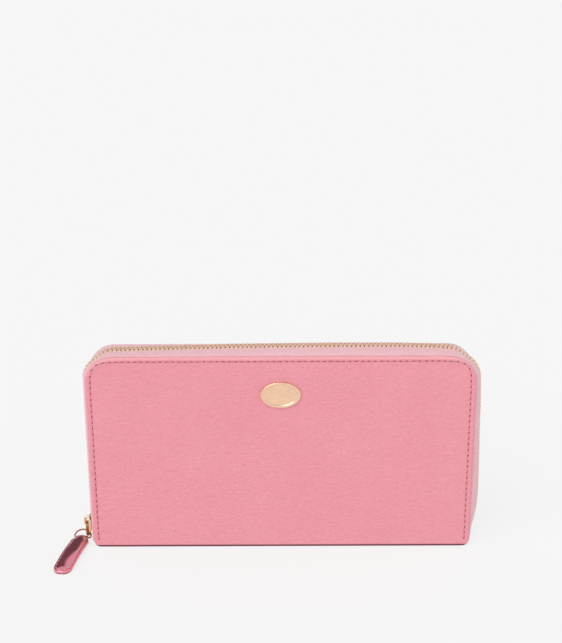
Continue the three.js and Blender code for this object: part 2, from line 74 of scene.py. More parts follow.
def depth_range(node):
    """How near a CAD node comes to the plane between the covers, and how far from it it reaches."""
    low, high = corners(node)
    return sorted((abs(low[1]), abs(high[1])))


def joint_place(name):
    """A joint's position in millimetres and its axis."""
    found = next(joint for joint in frame["joints"] if joint["name"] == name)
    return np.array(found.get("pos_m", (0, 0, 0))) / MILLI, np.array(found["axis"], float)


# ------------------------------------------------------------------ dimensions

cover_low, cover_high = corners("front_cover_leather")
HALF_WIDTH = cover_high[0]
COVER_TOP = cover_high[2]
HALF_DEPTH = -cover_low[1]
LEATHER = cover_high[1] - cover_low[1]
CORNER = 12.5  # radius of the covers' upper corners
LEG_TOP = COVER_TOP - CORNER
FOLD = 0.7  # radius of the leather's fold at the foot of each cover
NARROWING = 1.1  # the covers draw in towards their folds, from this height down
NARROW_BELOW = 6.5
FOOT_CORNER = 2.4  # and are rounded off at the foot

# The front's side is -1 and the back's is 1. This is how far the zip pulls in corners and top.
DRAWN_IN = {-1: (0.6, 0.0), 1: (1.3, 0.9)}

# The covers' relief: a rounded edge, a turned rim, a stitched groove with needle holes, and padding.
EDGE_ROUNDING = 0.95
RIM_RISE = 0.16
RIM_MIDDLE = 1.2
GROOVE_DEPTH = 0.17
HOLE_DEPTH = 0.07
GROOVE_HALF_WIDTH = 0.42
PADDING = 0.28

STITCH_GAP = 0.36  # from a needle hole to its thread, in steps along the seam
STITCH_SLANT = 0.12
STITCH_ARCH = 0.26
SEAM_INSET_LEGS = 2.6
SEAM_INSET_TOP = 2.2
SEAM_CORNER = 6.5  # radius of the seam's upper corners, tighter than the edge's
LEG_STEPS = 84  # steps of a millimetre up each leg of the seam
TURN_STEPS = 15
TOP_STEPS = 162
STEPS_PER_STITCH = 3
EDGE_STEPS = 2 * LEG_STEPS + 2 * TURN_STEPS + TOP_STEPS

# Distances from the covers' edge at which their surface has points, closest where it has relief.
INSETS = np.array(
    [0, 0.08, 0.2, 0.38, 0.55, 0.85, 1.1, 1.35, 1.6, 1.85, 2.1, 2.35, 2.55, 2.75, 2.95, 3.2, 3.6]
    + [4.2, 5, 6.5, 8.5, 10.5, 12.5]
)

TAPE_THICKNESS = 0.5
TAPE_HEM = 5.5
TAPE_SLOPE = {-1: 1.0, 1: 2.2}  # the front tape rises evenly to the teeth, the back one late
TAPE_PUCKER = 0.1
TEETH_PITCH = 2.1
tape_foot = corners("front_zip_tape")[0][2]
teeth_foot = corners("back_zip_teeth")[0][2]
slider_top = corners("zip_slider")[1][2]
SLIDER_GAP = 0.6  # from the slider at rest to the lowest front tooth
RIM_LENGTH = 2 * (LEG_TOP - tape_foot) + CORNER * math.pi + 2 * (HALF_WIDTH - CORNER)

# How far the zip stands out of the covers' edge, at heights up each leg and over the top.
BULGE_HEIGHTS = [2.0, 4.0, 8, 13, 18, 26, 40, 60, 75, 90]
BULGE_LEFT = [0.6, 1.4, 1.5, 1.5, 1.5, 1.5, 1.5, 1.5, 1.5, 1.5]
BULGE_RIGHT = [0.2, 0.5, 1.5, 2.7, 3.5, 4.0, 3.8, 3.3, 3.1, 2.5]
BULGE_ACROSS = [-85, -65, -45, -20, 0, 25, 57, 75, 85]
BULGE_TOP = [0.3, 0.9, 1.4, 1.9, 2.1, 2.3, 2.2, 1.7, 1.0]
CORNER_SINKING = 1.6  # the zip sinks in at the upper corners

# Cast sliders. Heights are from the plane of the teeth. taper is how much narrower the plates' far
# end is, and waist is the share of the width that the flanges' far end keeps.
OUTER_SLIDER = {
    "plate": (1.1, 1.95),
    "corner": 1.5,
    "taper": 0.08,
    "plate_bevel": 0.28,
    "flange": 0.5,
    "flange_ends": (1.0, 0.9),
    "slot": 0.6,
    "lap": 0.45,
    "waist": 0.95,
    "flange_bevel": 0.12,
    "strap_wire": 0.7,
    "strap_flat": 1.15,
    "strap_sunk": 0.3,
    "strap_steps": 17,
    "strap_sides": 12,
}
COIN_SLIDER = {
    "plate": (0.8, 1.4),
    "corner": 0.8,
    "taper": 0.14,
    "plate_bevel": 0.18,
    "flange": 0.35,
    "flange_ends": (0.9, 0.9),
    "slot": 0.4,
    "lap": 0.3,
    "waist": 0.88,
    "flange_bevel": 0.08,
    "strap_wire": 0.42,
    "strap_flat": 1.3,
    "strap_sunk": 0.2,
    "strap_steps": 15,
    "strap_sides": 10,
}
STRAP_SHARES = (-0.32, 0.86)  # where a strap starts and ends, as shares of half the slider's length
STRAP_INSET = 0.4
STRAP_SQUARENESS = 0.55  # 1 would be a half circle, and less is squarer

bar_middle, bar_axis = joint_place("tab_swing")
BAR_ALONG = -bar_axis / np.linalg.norm(bar_axis)
if BAR_ALONG[0] < 0:
    BAR_ALONG = -BAR_ALONG
TAB_FORWARD = np.array([BAR_ALONG[1], -BAR_ALONG[0], 0])
RING_LEAN = math.radians(45)
RING_WIRE = 0.4
RING_RADIUS = 4.2
RING_CORNER = 0.8
TAB_LENGTH = 36.0
TAB_HALF = 4.7
TAB_NECK = 3.0
TAB_HALF_THICKNESS = 1.15
TAB_UNDERSIDE = 1.1  # the underside is flat here, and the top is domed
TAB_BOW = 0.8
TAB_DOME = 0.5
TAB_SEAM_INSET = 1.25
TAB_STITCHES = 26

GUSSET_SEAM = corners("coin_panel_front")[1][0] - 2  # where the gussets are sewn on the coin pocket
GUSSET_CLEARANCE = 0.2
GUSSET_HALF_THICKNESS = 0.15
SHEET_ROUNDING = 0.5  # of the edges of the strips and walls inside
SEWN_PITCH = 2.6
SEWN_THREAD = 0.16  # radius
COIN_PITCH = 1.5

FLOOR_ALBEDO = 0.15
FLOOR_GLOW = 0.776
# Dark screens of the room as azimuth (0 is behind the wallet, 90 to its right), elevation and reach.
SCREENS = [(-18, 25, 13), (-78, 32, 17)]
SCREEN_SHADE = 0.04
LENS = 67.1
CAMERA_PLACE = (0.00193, -0.5482, 0.29455)  # in metres
CAMERA_ANGLES = (18.08, 0.17, -0.28)  # pitch, yaw and roll in degrees

# Name, side and body of the wallet's halves.
HALVES = (("front", -1, "front_half"), ("back", 1, "back_half"))

# ------------------------------------------------------------------ small helpers


def smoothstep(low, high, value):
    """A soft step from 0 at low to 1 at high."""
    share = np.clip((np.asarray(value, float) - low) / (high - low), 0, 1)
    return share * share * (3 - 2 * share)


def bump(value, middle, width):
    """A bell of height 1 about a middle."""
    return np.exp(-(((np.asarray(value, float) - middle) / width) ** 2))


def soft_noise(points, size, seed):
    """Smooth noise from about -1 to 1 at each point, with features of that size."""
    flat = np.asarray(points, float).reshape(-1, 3) / size + seed
    values = [noise.noise(Vector(point)) for point in flat]
    return np.array(values).reshape(np.asarray(points).shape[:-1])


def stack(*parts):
    """Coordinates given apart, put together as points."""
    return np.stack(np.broadcast_arrays(*parts), axis=-1)


class Sketch:
    """Points, texture coordinates and faces of one piece, in millimetres."""

    def __init__(self):
        self.points = []
        self.grain = []
        self.painted_light = []
        self.faces = []
        self.looks = []
        self.count = 0

    def add(self, points, faces, look=0, grain=None, painted_light=0.0):
        points = np.asarray(points, float).reshape(-1, 3)
        grain = points if grain is None else np.asarray(grain, float).reshape(-1, 3)
        self.points.append(points)
        self.grain.append(grain)
        self.painted_light.append(np.broadcast_to(np.ravel(painted_light), len(points)))
        self.faces.extend(tuple(int(i) + self.count for i in face) for face in faces)
        self.looks.extend([look] * len(faces))
        self.count += len(points)

    def grid(self, points, grain=None, close_rows=False, close_columns=False, caps=False, painted_light=0.0):
        """A surface through rows of points. Columns may close into rings, and rings may be capped."""
        rows, columns = points.shape[:2]
        index = np.arange(rows * columns).reshape(rows, columns)
        down = np.roll(index, -1, axis=0) if close_rows else index[1:]
        here = index if close_rows else index[:-1]
        if close_columns:
            quads = np.stack([here, np.roll(here, -1, 1), np.roll(down, -1, 1), down], axis=-1)
        else:
            quads = np.stack([here[:, :-1], here[:, 1:], down[:, 1:], down[:, :-1]], axis=-1)
        faces = [tuple(quad) for quad in quads.reshape(-1, 4)]
        if caps:
            faces.append(tuple(index[0][::-1]))
            faces.append(tuple(index[-1]))
        self.add(points, faces, 0, grain, painted_light)

    def tube(self, path, radius, sides, closed=False, flat=1.0, up=(0, 0, 1)):
        """A round or oval bar along a path. flat scales it across the up direction."""
        path = np.asarray(path, float)
        if closed:
            along = np.roll(path, -1, 0) - np.roll(path, 1, 0)
        else:
            along = np.gradient(path, axis=0)
        along /= np.linalg.norm(along, axis=1, keepdims=True)
        side = np.cross(along, np.asarray(up, float))
        side /= np.linalg.norm(side, axis=1, keepdims=True)
        over = np.cross(side, along)
        radii = np.broadcast_to(radius, len(path))[:, None, None]
        angles = np.linspace(0, 2 * math.pi, sides, endpoint=False)[None, :, None]
        ring = np.cos(angles) * side[:, None] + flat * np.sin(angles) * over[:, None]
        points = path[:, None] + radii * ring
        self.grid(points, close_rows=closed, close_columns=True, caps=not closed)

    def finish(self, name, materials, sharp=35, weld=True):
        """The piece as a Blender object. Edges sharper than that many degrees stay crisp."""
        mesh = bpy.data.meshes.new(name)
        points = np.concatenate(self.points) * MILLI
        mesh.from_pydata(points.tolist(), [], self.faces)
        for material in materials:
            mesh.materials.append(material)
        mesh.polygons.foreach_set("material_index", self.looks)
        grain = mesh.attributes.new("grain", "FLOAT_VECTOR", "POINT")
        grain.data.foreach_set("vector", np.concatenate(self.grain).ravel())
        # Painted light per point, for the leather's shader: painted shade below 0 and a painted
        # highlight above 0.
        painted_light = mesh.attributes.new("painted_light", "FLOAT", "POINT")
        painted_light.data.foreach_set("value", np.concatenate(self.painted_light))
        edited = bmesh.new()
        edited.from_mesh(mesh)
        if weld:
            bmesh.ops.remove_doubles(edited, verts=edited.verts, dist=1e-6)
        bmesh.ops.recalc_face_normals(edited, faces=edited.faces)
        edited.to_mesh(mesh)
        edited.free()
        mesh.shade_smooth()
        mesh.set_sharp_from_angle(angle=math.radians(sharp))
        piece = bpy.data.objects.new(name, mesh)
        bpy.context.scene.collection.objects.link(piece)
        return piece


def attach(piece, body, slot, *nodes):
    """Makes a piece ride on a body and stand for its CAD nodes, which it hides. The slot is not used."""
    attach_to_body(piece, body)
    if nodes:
        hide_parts(*nodes)


def rectangle(half_u, half_v):
    return [(-half_u, -half_v), (half_u, -half_v), (half_u, half_v), (-half_u, half_v)]


def arc(middle, radii, start, end, steps):
    """Points (u, v) of an arc about a middle, between two angles in degrees."""
    turns = np.radians(np.linspace(start, end, steps))
    return [(middle[0] + radii[0] * math.cos(t), middle[1] + radii[1] * math.sin(t)) for t in turns]


def bevelled(outline, low, high, place, bevel, segments):
    """Points and faces of a prism with rounded edges. place turns (u, v, height) into the row frame."""
    shape = bmesh.new()
    ring = [shape.verts.new((u, v, low)) for u, v in outline]
    bottom = shape.faces.new(ring)
    raised = bmesh.ops.extrude_face_region(shape, geom=[bottom])["geom"]
    for item in raised:
        if isinstance(item, bmesh.types.BMVert):
            item.co.z = high
    bmesh.ops.recalc_face_normals(shape, faces=shape.faces)
    sharp = [edge for edge in shape.edges if edge.calc_face_angle(0) > math.radians(28)]
    rounding = {"offset": bevel, "segments": segments, "profile": 0.5, "clamp_overlap": True}
    bmesh.ops.bevel(shape, geom=sharp, affect="EDGES", **rounding)
    shape.verts.index_update()
    points = np.array([place(*vertex.co) for vertex in shape.verts])
    faces = [tuple(vertex.index for vertex in face.verts) for face in shape.faces]
    shape.free()
    return points, faces


# ------------------------------------------------------------------ materials


def node(tree, kind, inputs=None, **settings):
    """A new shader node. Its inputs are values or the sockets that feed them."""
    made = tree.nodes.new("ShaderNode" + kind)
    for key, value in settings.items():
        setattr(made, key, value)
    for key, value in (inputs or {}).items():
        socket = made.inputs[key]
        if isinstance(value, bpy.types.NodeSocket):
            tree.links.new(value, socket)
        else:
            socket.default_value = value
    return made


def linear(red, green, blue):
    """A display colour of 0 to 255 as the shader's linear colour."""
    values = [channel / 255 for channel in (red, green, blue)]
    return (*[v / 12.92 if v <= 0.04045 else ((v + 0.055) / 1.055) ** 2.4 for v in values], 1)


def ranged(tree, value, low, high, to_low, to_high):
    """A value's range, low to high, stretched to another range."""
    inputs = {"Value": value, "From Min": low, "From Max": high, "To Min": to_low, "To Max": to_high}
    return node(tree, "MapRange", inputs).outputs["Result"]


class Look:
    """A material under construction: its tree, its shader and its texture coordinates in millimetres."""

    def __init__(self, name, stored=True):
        self.material = bpy.data.materials.new(name)
        self.material.use_nodes = True
        self.tree = self.material.node_tree
        self.shader = self.tree.nodes["Principled BSDF"]
        if stored:
            self.place = node(self.tree, "Attribute", attribute_name="grain").outputs["Vector"]
        else:
            object_place = node(self.tree, "TexCoord").outputs["Object"]
            self.place = self.scaled(object_place, (1 / MILLI,) * 3)

    def scaled(self, vector, factors):
        inputs = {0: vector, 1: factors}
        return node(self.tree, "VectorMath", inputs, operation="MULTIPLY").outputs[0]

    def noise(self, size, stretch=(1, 1, 1), detail=3.0, roughness=0.55, distortion=0.0):
        """Noise with features of about that size, longer where the stretch is larger."""
        vector = self.scaled(self.place, tuple(1 / (size * s) for s in stretch))
        inputs = {"Vector": vector, "Scale": 1.0, "Detail": detail}
        inputs |= {"Roughness": roughness, "Distortion": distortion}
        return node(self.tree, "TexNoise", inputs).outputs["Fac"]

    def cells(self, size, stretch=(1, 1, 1)):
        """Rounded cells of about that size."""
        vector = self.scaled(self.place, tuple(1 / (size * s) for s in stretch))
        made = node(self.tree, "TexVoronoi", {"Vector": vector, "Scale": 1.0}, feature="SMOOTH_F1")
        return made.outputs["Distance"]

    def ranged(self, value, low, high, to_low, to_high):
        return ranged(self.tree, value, low, high, to_low, to_high)

    def maths(self, operation, first, second=0.0):
        return node(self.tree, "Math", {0: first, 1: second}, operation=operation).outputs[0]

    def mixed(self, share, first, second):
        """A colour between two, by a share from 0 to 1."""
        made = node(self.tree, "Mix", data_type="RGBA")
        for key, value in {"Factor": share, "A": first, "B": second}.items():
            sockets = [s for s in made.inputs if s.name == key and s.enabled]
            if isinstance(value, bpy.types.NodeSocket):
                self.tree.links.new(value, sockets[0])
            else:
                sockets[0].default_value = value
        return next(s for s in made.outputs if s.enabled)

    def tinted(self, colour, tint, value, low, high, most):
        """A colour that takes up to that share of a tint as a value goes from low to high."""
        return self.mixed(self.ranged(value, low, high, 0.0, most), colour, tint)

    def part(self, axis):
        return node(self.tree, "SeparateXYZ", {0: self.place}).outputs[axis]

    def bumped(self, height, depth, before=None):
        """A bump of that many millimetres, on top of the one before."""
        inputs = {"Height": height, "Distance": depth * MILLI, "Strength": 1.0}
        if before is not None:
            inputs["Normal"] = before
        return node(self.tree, "Bump", inputs).outputs["Normal"]

    def set(self, **values):
        """Sets or feeds the shader's inputs and returns the finished material."""
        names = {
            "colour": "Base Color",
            "roughness": "Roughness",
            "metallic": "Metallic",
            "normal": "Normal",
            "coat": "Coat Weight",
            "coat_roughness": "Coat Roughness",
            "sheen": "Sheen Weight",
            "sheen_roughness": "Sheen Roughness",
            "specular": "Specular IOR Level",
        }
        for key, value in values.items():
            socket = self.shader.inputs[names[key]]
            if isinstance(value, bpy.types.NodeSocket):
                self.tree.links.new(value, socket)
            else:
                socket.default_value = value
        return self.material


def leather(name, colour, dark, wear_and_highlight=None, painted=None, grain=1.0):
    """Soft calf leather with a fine pebble and short level creases. A piece's painted-light attribute
    goes from -1, painted shade at the foot of the covers' fold, to 1, a pale painted highlight along
    their rolled top rim."""
    look = Look(name)
    pebble = look.cells(0.75, (1.5, 0.9, 1.0))
    creases = look.noise(0.8, (3.4, 0.8, 1.0), detail=4.0, roughness=0.6, distortion=0.8)
    folds = look.noise(5.0, (3.5, 0.9, 1.0), detail=2.0)
    patches = look.noise(38.0, detail=2.0)
    toned = look.tinted(colour, dark, creases, 0.32, 0.68, 0.26)
    toned = look.tinted(toned, dark, patches, 0.3, 0.7, 0.14)
    toned = look.tinted(toned, dark, pebble, 0.25, 0.75, 0.28)
    # Painted light from the piece's attribute: a pale painted highlight above 0 and the dark painted
    # shade below 0.
    if wear_and_highlight is not None:
        painted_light = node(look.tree, "Attribute", attribute_name="painted_light").outputs["Fac"]
        toned = look.tinted(toned, wear_and_highlight, painted_light, 0.0, 1.0, 1.0)
        toned = look.mixed(look.ranged(painted_light, -1.0, 0.0, 1.0, 0.0), toned, painted)
    rough = look.ranged(creases, 0.3, 0.7, 0.4, 0.56)
    normal = look.bumped(folds, 0.22 * grain)
    normal = look.bumped(creases, 0.34 * grain, normal)
    normal = look.bumped(pebble, -0.26 * grain, normal)
    return look.set(colour=toned, roughness=rough, normal=normal, specular=0.4)


def glossy_leather(name, colour, dark):
    """Foiled leather of the pull tab: a metallic pink under a clear, hard gloss."""
    look = Look(name)
    pebble = look.cells(1.1)
    patches = look.noise(7.0, (1.0, 2.0, 1.0))
    mottled = look.tinted(colour, dark, patches, 0.3, 0.7, 0.25)
    rough = look.ranged(patches, 0.3, 0.7, 0.08, 0.14)
    normal = look.bumped(patches, 0.06)
    normal = look.bumped(pebble, -0.012, normal)
    return look.set(
        colour=mottled, roughness=rough, normal=normal, metallic=0.82, coat=1.0, coat_roughness=0.05
    )


def plain_leather(name, colour, dark, roughness=0.4):
    """Painted or burnished edges and the small strips of the inside."""
    look = Look(name)
    fine = look.noise(0.8, detail=3.0)
    mottled = look.tinted(colour, dark, fine, 0.3, 0.7, 0.4)
    rough = look.ranged(fine, 0.3, 0.7, roughness - 0.06, roughness + 0.08)
    return look.set(colour=mottled, roughness=rough, normal=look.bumped(fine, 0.05))


def woven(name, colour, dark, thread=0.45, depth=0.05, sheen=0.3, stored=True):
    """Cloth woven of fine threads, which cross along and over the piece."""
    look = Look(name, stored)
    turn = 2 * math.pi / thread
    along = look.maths("SINE", look.maths("MULTIPLY", look.part("X"), turn))
    across = look.maths("SINE", look.maths("MULTIPLY", look.part("Y"), turn))
    weave = look.maths("MULTIPLY", along, across)
    slubs = look.noise(2.5, (3.0, 0.5, 1.0), detail=2.0)
    patches = look.noise(20.0)
    mottled = look.mixed(look.ranged(weave, -1.0, 1.0, 0.45, 0.0), colour, dark)
    mottled = look.tinted(mottled, dark, slubs, 0.35, 0.7, 0.3)
    mottled = look.tinted(mottled, dark, patches, 0.3, 0.7, 0.15)
    rough = look.ranged(slubs, 0.3, 0.7, 0.72, 0.9)
    normal = look.bumped(slubs, depth)
    normal = look.bumped(weave, depth * 0.6, normal)
    return look.set(colour=mottled, roughness=rough, normal=normal, sheen=sheen, sheen_roughness=0.5)


def metal(name, colour, dark, roughness, stored=True, wear_and_highlight=0.25, metallic=1.0):
    """Plated metal with faint tumbling marks and a slightly uneven polish."""
    look = Look(name, stored)
    marks = look.noise(0.9, detail=4.0, roughness=0.65)
    clouds = look.noise(3.5)
    toned = look.tinted(colour, dark, marks, 0.35, 0.75, wear_and_highlight)
    toned = look.tinted(toned, dark, clouds, 0.3, 0.7, wear_and_highlight)
    rough = look.ranged(marks, 0.3, 0.7, roughness * 0.75, roughness * 1.35)
    normal = look.bumped(marks, 0.012)
    return look.set(colour=toned, roughness=rough, metallic=metallic, normal=normal)


def thread(name, colour, dark):
    """Twisted sewing thread."""
    look = Look(name)
    diagonal = look.maths("ADD", look.part("X"), look.maths("MULTIPLY", look.part("Y"), 1.7))
    twist = look.maths("SINE", look.maths("MULTIPLY", diagonal, 2 * math.pi / 0.3))
    fibre = look.noise(0.3, detail=2.0)
    toned = look.mixed(look.ranged(twist, -1.0, 1.0, 0.4, 0.0), colour, dark)
    toned = look.tinted(toned, dark, fibre, 0.3, 0.7, 0.3)
    rough = look.ranged(fibre, 0.3, 0.7, 0.55, 0.75)
    return look.set(colour=toned, roughness=rough, normal=look.bumped(twist, 0.04), sheen=0.2)


lining_colours = (linear(226, 158, 170), linear(196, 118, 134))
board_colours = (linear(186, 176, 166), linear(158, 148, 138))
backplate_colours = (linear(206, 160, 106), linear(150, 108, 66))
# The pale tint is a painted highlight on the covers' top rim, and the dark burgundy is painted shade at
# the foot of their fold.
pink = leather(
    "cover leather",
    linear(240, 159, 170),
    linear(216, 125, 139),
    wear_and_highlight=linear(247, 180, 187),
    painted=linear(96, 26, 42),
)
tab_pink = glossy_leather("tab leather", linear(240, 138, 156), linear(214, 104, 126))
edge_paint = plain_leather("edge paint", linear(112, 42, 56), linear(70, 20, 32), 0.25)
tape_cloth = woven("zip tape cloth", linear(242, 194, 201), linear(220, 162, 172))
seam_thread = thread("seam thread", linear(242, 158, 170), linear(220, 124, 140))
pale_thread = thread("tab thread", linear(244, 190, 200), linear(222, 150, 164))
hole_shade = plain_leather("stitch holes", linear(140, 46, 66), linear(104, 30, 46), 0.6)
teeth_gold = metal("teeth gold", linear(250, 214, 190), linear(214, 170, 142), 0.36, metallic=0.55)
slider_gold = metal("slider gold", linear(248, 218, 182), linear(190, 144, 104), 0.18)
pull_gold = metal("pull gold", linear(176, 126, 82), linear(78, 46, 30), 0.12, wear_and_highlight=0.5)
emblem_gold = metal("emblem gold", linear(252, 216, 184), linear(216, 166, 130), 0.2)
lining_cloth = woven("lining twill", *lining_colours, 0.6, 0.04, 0.2)
card_leather = leather("card leather", linear(232, 150, 163), linear(206, 116, 132), grain=0.6)
pocket_leather = leather("pocket leather", linear(228, 146, 159), linear(200, 112, 128), grain=0.5)
card_thread = thread("card thread", linear(240, 172, 182), linear(212, 130, 144))
board_card = woven("stiffener board", *board_colours, 1.1, 0.03, 0.0, stored=False)
foot_lining = woven("foot lining", *lining_colours, 0.6, 0.04, 0.2, stored=False)
backplate_metal = metal("backplate metal", *backplate_colours, 0.3, stored=False)

# ------------------------------------------------------------------ the outer leather


def half_width_at(rise):
    """Half a cover's width at a height, drawn in and rounded off at the foot."""
    drop = np.clip((NARROW_BELOW - rise) / NARROW_BELOW, 0, 1)
    turn = np.clip((FOOT_CORNER - rise) / FOOT_CORNER, 0, 1)
    return HALF_WIDTH - NARROWING * drop**2 - FOOT_CORNER * (1 - np.sqrt(1 - turn**2))


def on_cover(x, rise, lift, side):
    """A point of the outer leather. rise runs down the cover, round its fold and on under the wallet,
    and lift is measured outwards from the leather's outer face. The zip pulls the top in a little."""
    across = HALF_DEPTH - FOLD
    turn = np.clip((FOLD - rise) / FOLD, 0, math.pi / 2)
    radius = FOLD + lift
    under = np.maximum(FOLD * (1 - math.pi / 2) - rise, 0)
    second = np.clip((under - 2 * across) / FOLD, 0, math.pi / 2)
    flat = np.minimum(under, 2 * across)
    y = across + radius * np.cos(turn) - flat - radius * np.sin(second)
    standing = np.maximum(rise - FOLD, 0)
    z = FOLD + standing - radius * np.sin(turn) + radius * (1 - np.cos(second))
    corner_pull, top_pull = DRAWN_IN[side]
    near_top = smoothstep(84, 101, z)
    drawn = corner_pull * smoothstep(74, 94, np.abs(x)) * near_top
    return stack(x - np.sign(x) * drawn, side * y, z - drawn - top_pull * near_top)


def along_edge(step, inset):
    """x and rise of a place along a cover's edge, in steps from the foot of the left leg's seam."""
    step, inset = np.broadcast_arrays(np.asarray(step, float), np.asarray(inset, float))
    radius = CORNER - inset
    top_half = HALF_WIDTH - CORNER
    left = step - LEG_STEPS
    angle_left = math.pi * (1 - np.clip(left / TURN_STEPS, 0, 1) / 2)
    top_share = np.clip((left - TURN_STEPS) / TOP_STEPS, 0, 1)
    angle_right = math.pi / 2 * (1 - np.clip((left - TURN_STEPS - TOP_STEPS) / TURN_STEPS, 0, 1))
    down = left - TURN_STEPS - TOP_STEPS - TURN_STEPS
    angle = np.where(top_share <= 0, angle_left, angle_right)
    centre = top_half * (2 * top_share - 1)
    on_leg = (left < 0) | (down > 0)
    rise = LEG_TOP + np.where(on_leg, -np.maximum(-left, down), radius * np.sin(angle))
    leg_x = (half_width_at(rise) - inset) * np.where(left < 0, -1, 1)
    x = np.where(on_leg, leg_x, centre + radius * np.cos(angle))
    return x, rise


def seam_inset(step):
    """The seam's distance from the edge, which shrinks where it turns the upper corners."""
    left = np.clip((step - LEG_STEPS) / TURN_STEPS, 0, 1)
    right = np.clip((step - LEG_STEPS - TURN_STEPS - TOP_STEPS) / TURN_STEPS, 0, 1)
    angle = (left - right) * math.pi / 2
    cosine, sine = np.maximum(np.cos(angle), 1e-6), np.maximum(np.sin(angle), 1e-6)
    leg, top = CORNER - SEAM_INSET_LEGS, CORNER - SEAM_INSET_TOP
    centre_x, centre_z = leg - SEAM_CORNER, top - SEAM_CORNER
    middle = centre_x * cosine + centre_z * sine
    turned = middle + np.sqrt(middle**2 - centre_x**2 - centre_z**2 + SEAM_CORNER**2)
    on_leg = leg / cosine * sine <= centre_z
    on_top = top / sine * cosine <= centre_x
    return CORNER - np.select([on_leg, on_top], [leg / cosine, top / sine], turned)


def outer_lift(inset, rise, step):
    """The outer face's relief: rounded edge, turned rim, stitched groove and the padding inside it."""
    short = 1 - np.minimum(inset / EDGE_ROUNDING, 1)
    edge = 0.5 * LEATHER * (1 - np.sqrt(1 - short**2))
    rim = RIM_RISE * bump(inset, RIM_MIDDLE, 0.7)
    near_hole = np.cos(2 * math.pi * step / STEPS_PER_STITCH)
    depth = GROOVE_DEPTH + HOLE_DEPTH * near_hole
    groove = depth * bump(inset, seam_inset(step), GROOVE_HALF_WIDTH)
    padding = PADDING * smoothstep(3.0, 9.5, inset)
    seam = smoothstep(3.0, 6.0, rise)
    above_fold = smoothstep(2.0, 14.0, rise)
    return -edge + seam * (rim - groove) + above_fold * padding


def inner_lift(inset):
    """The inner face's depth below the outer one, rounded at the edge."""
    round_off = 0.5 * LEATHER
    short = round_off - np.minimum(inset, round_off)
    return -LEATHER + round_off - np.sqrt(round_off**2 - short**2)


def cover_patches(rises, margin=0.0, stride=1):
    """The two parts of a cover's surface as grids of x, rise, inset and step: the body between the legs,
    with rises from the bottom to the corners' height, and the band round the top. A margin draws the
    outline in, and a stride takes longer steps along the edge."""
    insets = margin + INSETS * (1 - margin / CORNER)
    rises = np.asarray(rises)[:, None]
    inside = np.linspace(-1, 1, TOP_STEPS // stride + 1)[None, 1:-1]
    half = half_width_at(rises)
    left = insets[None, :] - half
    middle = inside * (half - CORNER)
    right = half - insets[None, ::-1]
    x = np.concatenate([left, middle, right], axis=1)
    rows = np.ones_like(rises)
    deep = CORNER + 0 * middle
    inset = np.concatenate([insets * rows, deep, insets[::-1] * rows], axis=1)
    step = LEG_STEPS + rises - LEG_TOP
    body = [x, rises + 0 * x, inset, step + 0 * x]
    steps = np.arange(LEG_STEPS, EDGE_STEPS - LEG_STEPS + 1, stride)[None, :]
    band_x, band_rise = along_edge(steps, insets[:, None])
    band_inset = insets[:, None] + 0 * band_x
    band_step = steps + 0 * band_x
    return body, [band_x, band_rise, band_inset, band_step]


def cover_leather(name, rises, side):
    """A cover's leather with an outer and an inner face, closed at its lower end."""
    sketch = Sketch()
    body, band = cover_patches(rises)
    ends = []
    for x, rise, inset, step in (body, band):
        grain = stack(x, 0 * x, rise) + np.array([0, 40.0 * side, 0])
        waves = soft_noise(stack(x / 2, rise, 0 * x), 16.0, 3.0 + side)
        soft = 0.16 * waves * smoothstep(3.2, 12, inset) * smoothstep(5, 20, rise)
        outside = on_cover(x, rise, outer_lift(inset, rise, step) + soft, side)
        inside = on_cover(x, rise, inner_lift(inset), side)
        y, z = np.abs(outside[..., 1]), outside[..., 2]
        # Painted highlight: the top of the rolled rim is tinted paler where it catches the light from
        # above.
        painted_rim_highlight = 0.55 * bump(inset, 0.4, 0.9) * smoothstep(LEG_TOP + 2, COVER_TOP - 2, rise)
        # Painted shade: the foot of the fold, where it turns under towards the floor, is coloured dark
        # burgundy.
        painted = smoothstep(1.5, 0.9, z) * smoothstep(HALF_DEPTH - 1.5, HALF_DEPTH - 0.7, y)
        sketch.grid(outside, grain=grain, painted_light=painted_rim_highlight - painted)
        sketch.grid(inside, grain=grain)
        ends.append((outside[0], inside[0]))
    sketch.grid(np.stack(ends[0]))
    return sketch.finish(name, [pink], sharp=60)


def build_covers():
    """The front cover and the back cover with the spine. They meet in the middle of the front fold."""
    standing = np.concatenate([[1.0, 1.3, 1.6, 2.0], LEG_TOP - np.arange(0, 87)[::-1]])
    quarter = math.pi / 2
    fold_turns = np.linspace(quarter, 0, 10)[:-1]
    fold = FOLD - FOLD * fold_turns
    half_fold = fold[fold_turns <= quarter / 2 + 0.01]
    seam_rise = FOLD - FOLD * quarter / 2
    front_rises = np.concatenate([[seam_rise], half_fold[half_fold > seam_rise + 0.01], standing])
    front = cover_leather("outer_leather_front", front_rises, -1)

    across = 2 * (HALF_DEPTH - FOLD)
    under_start = FOLD * (1 - quarter)
    far_fold = under_start - across - FOLD * np.linspace(quarter / 2, 0, 5)
    under = under_start - np.linspace(across, 0, 12)[1:]
    back_rises = np.concatenate([far_fold, under, fold[1:], standing])
    back = cover_leather("outer_leather_back", back_rises, 1)

    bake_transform(front)
    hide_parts("front_cover_leather")
    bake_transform(back)
    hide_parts("back_cover_leather", "spine_leather")


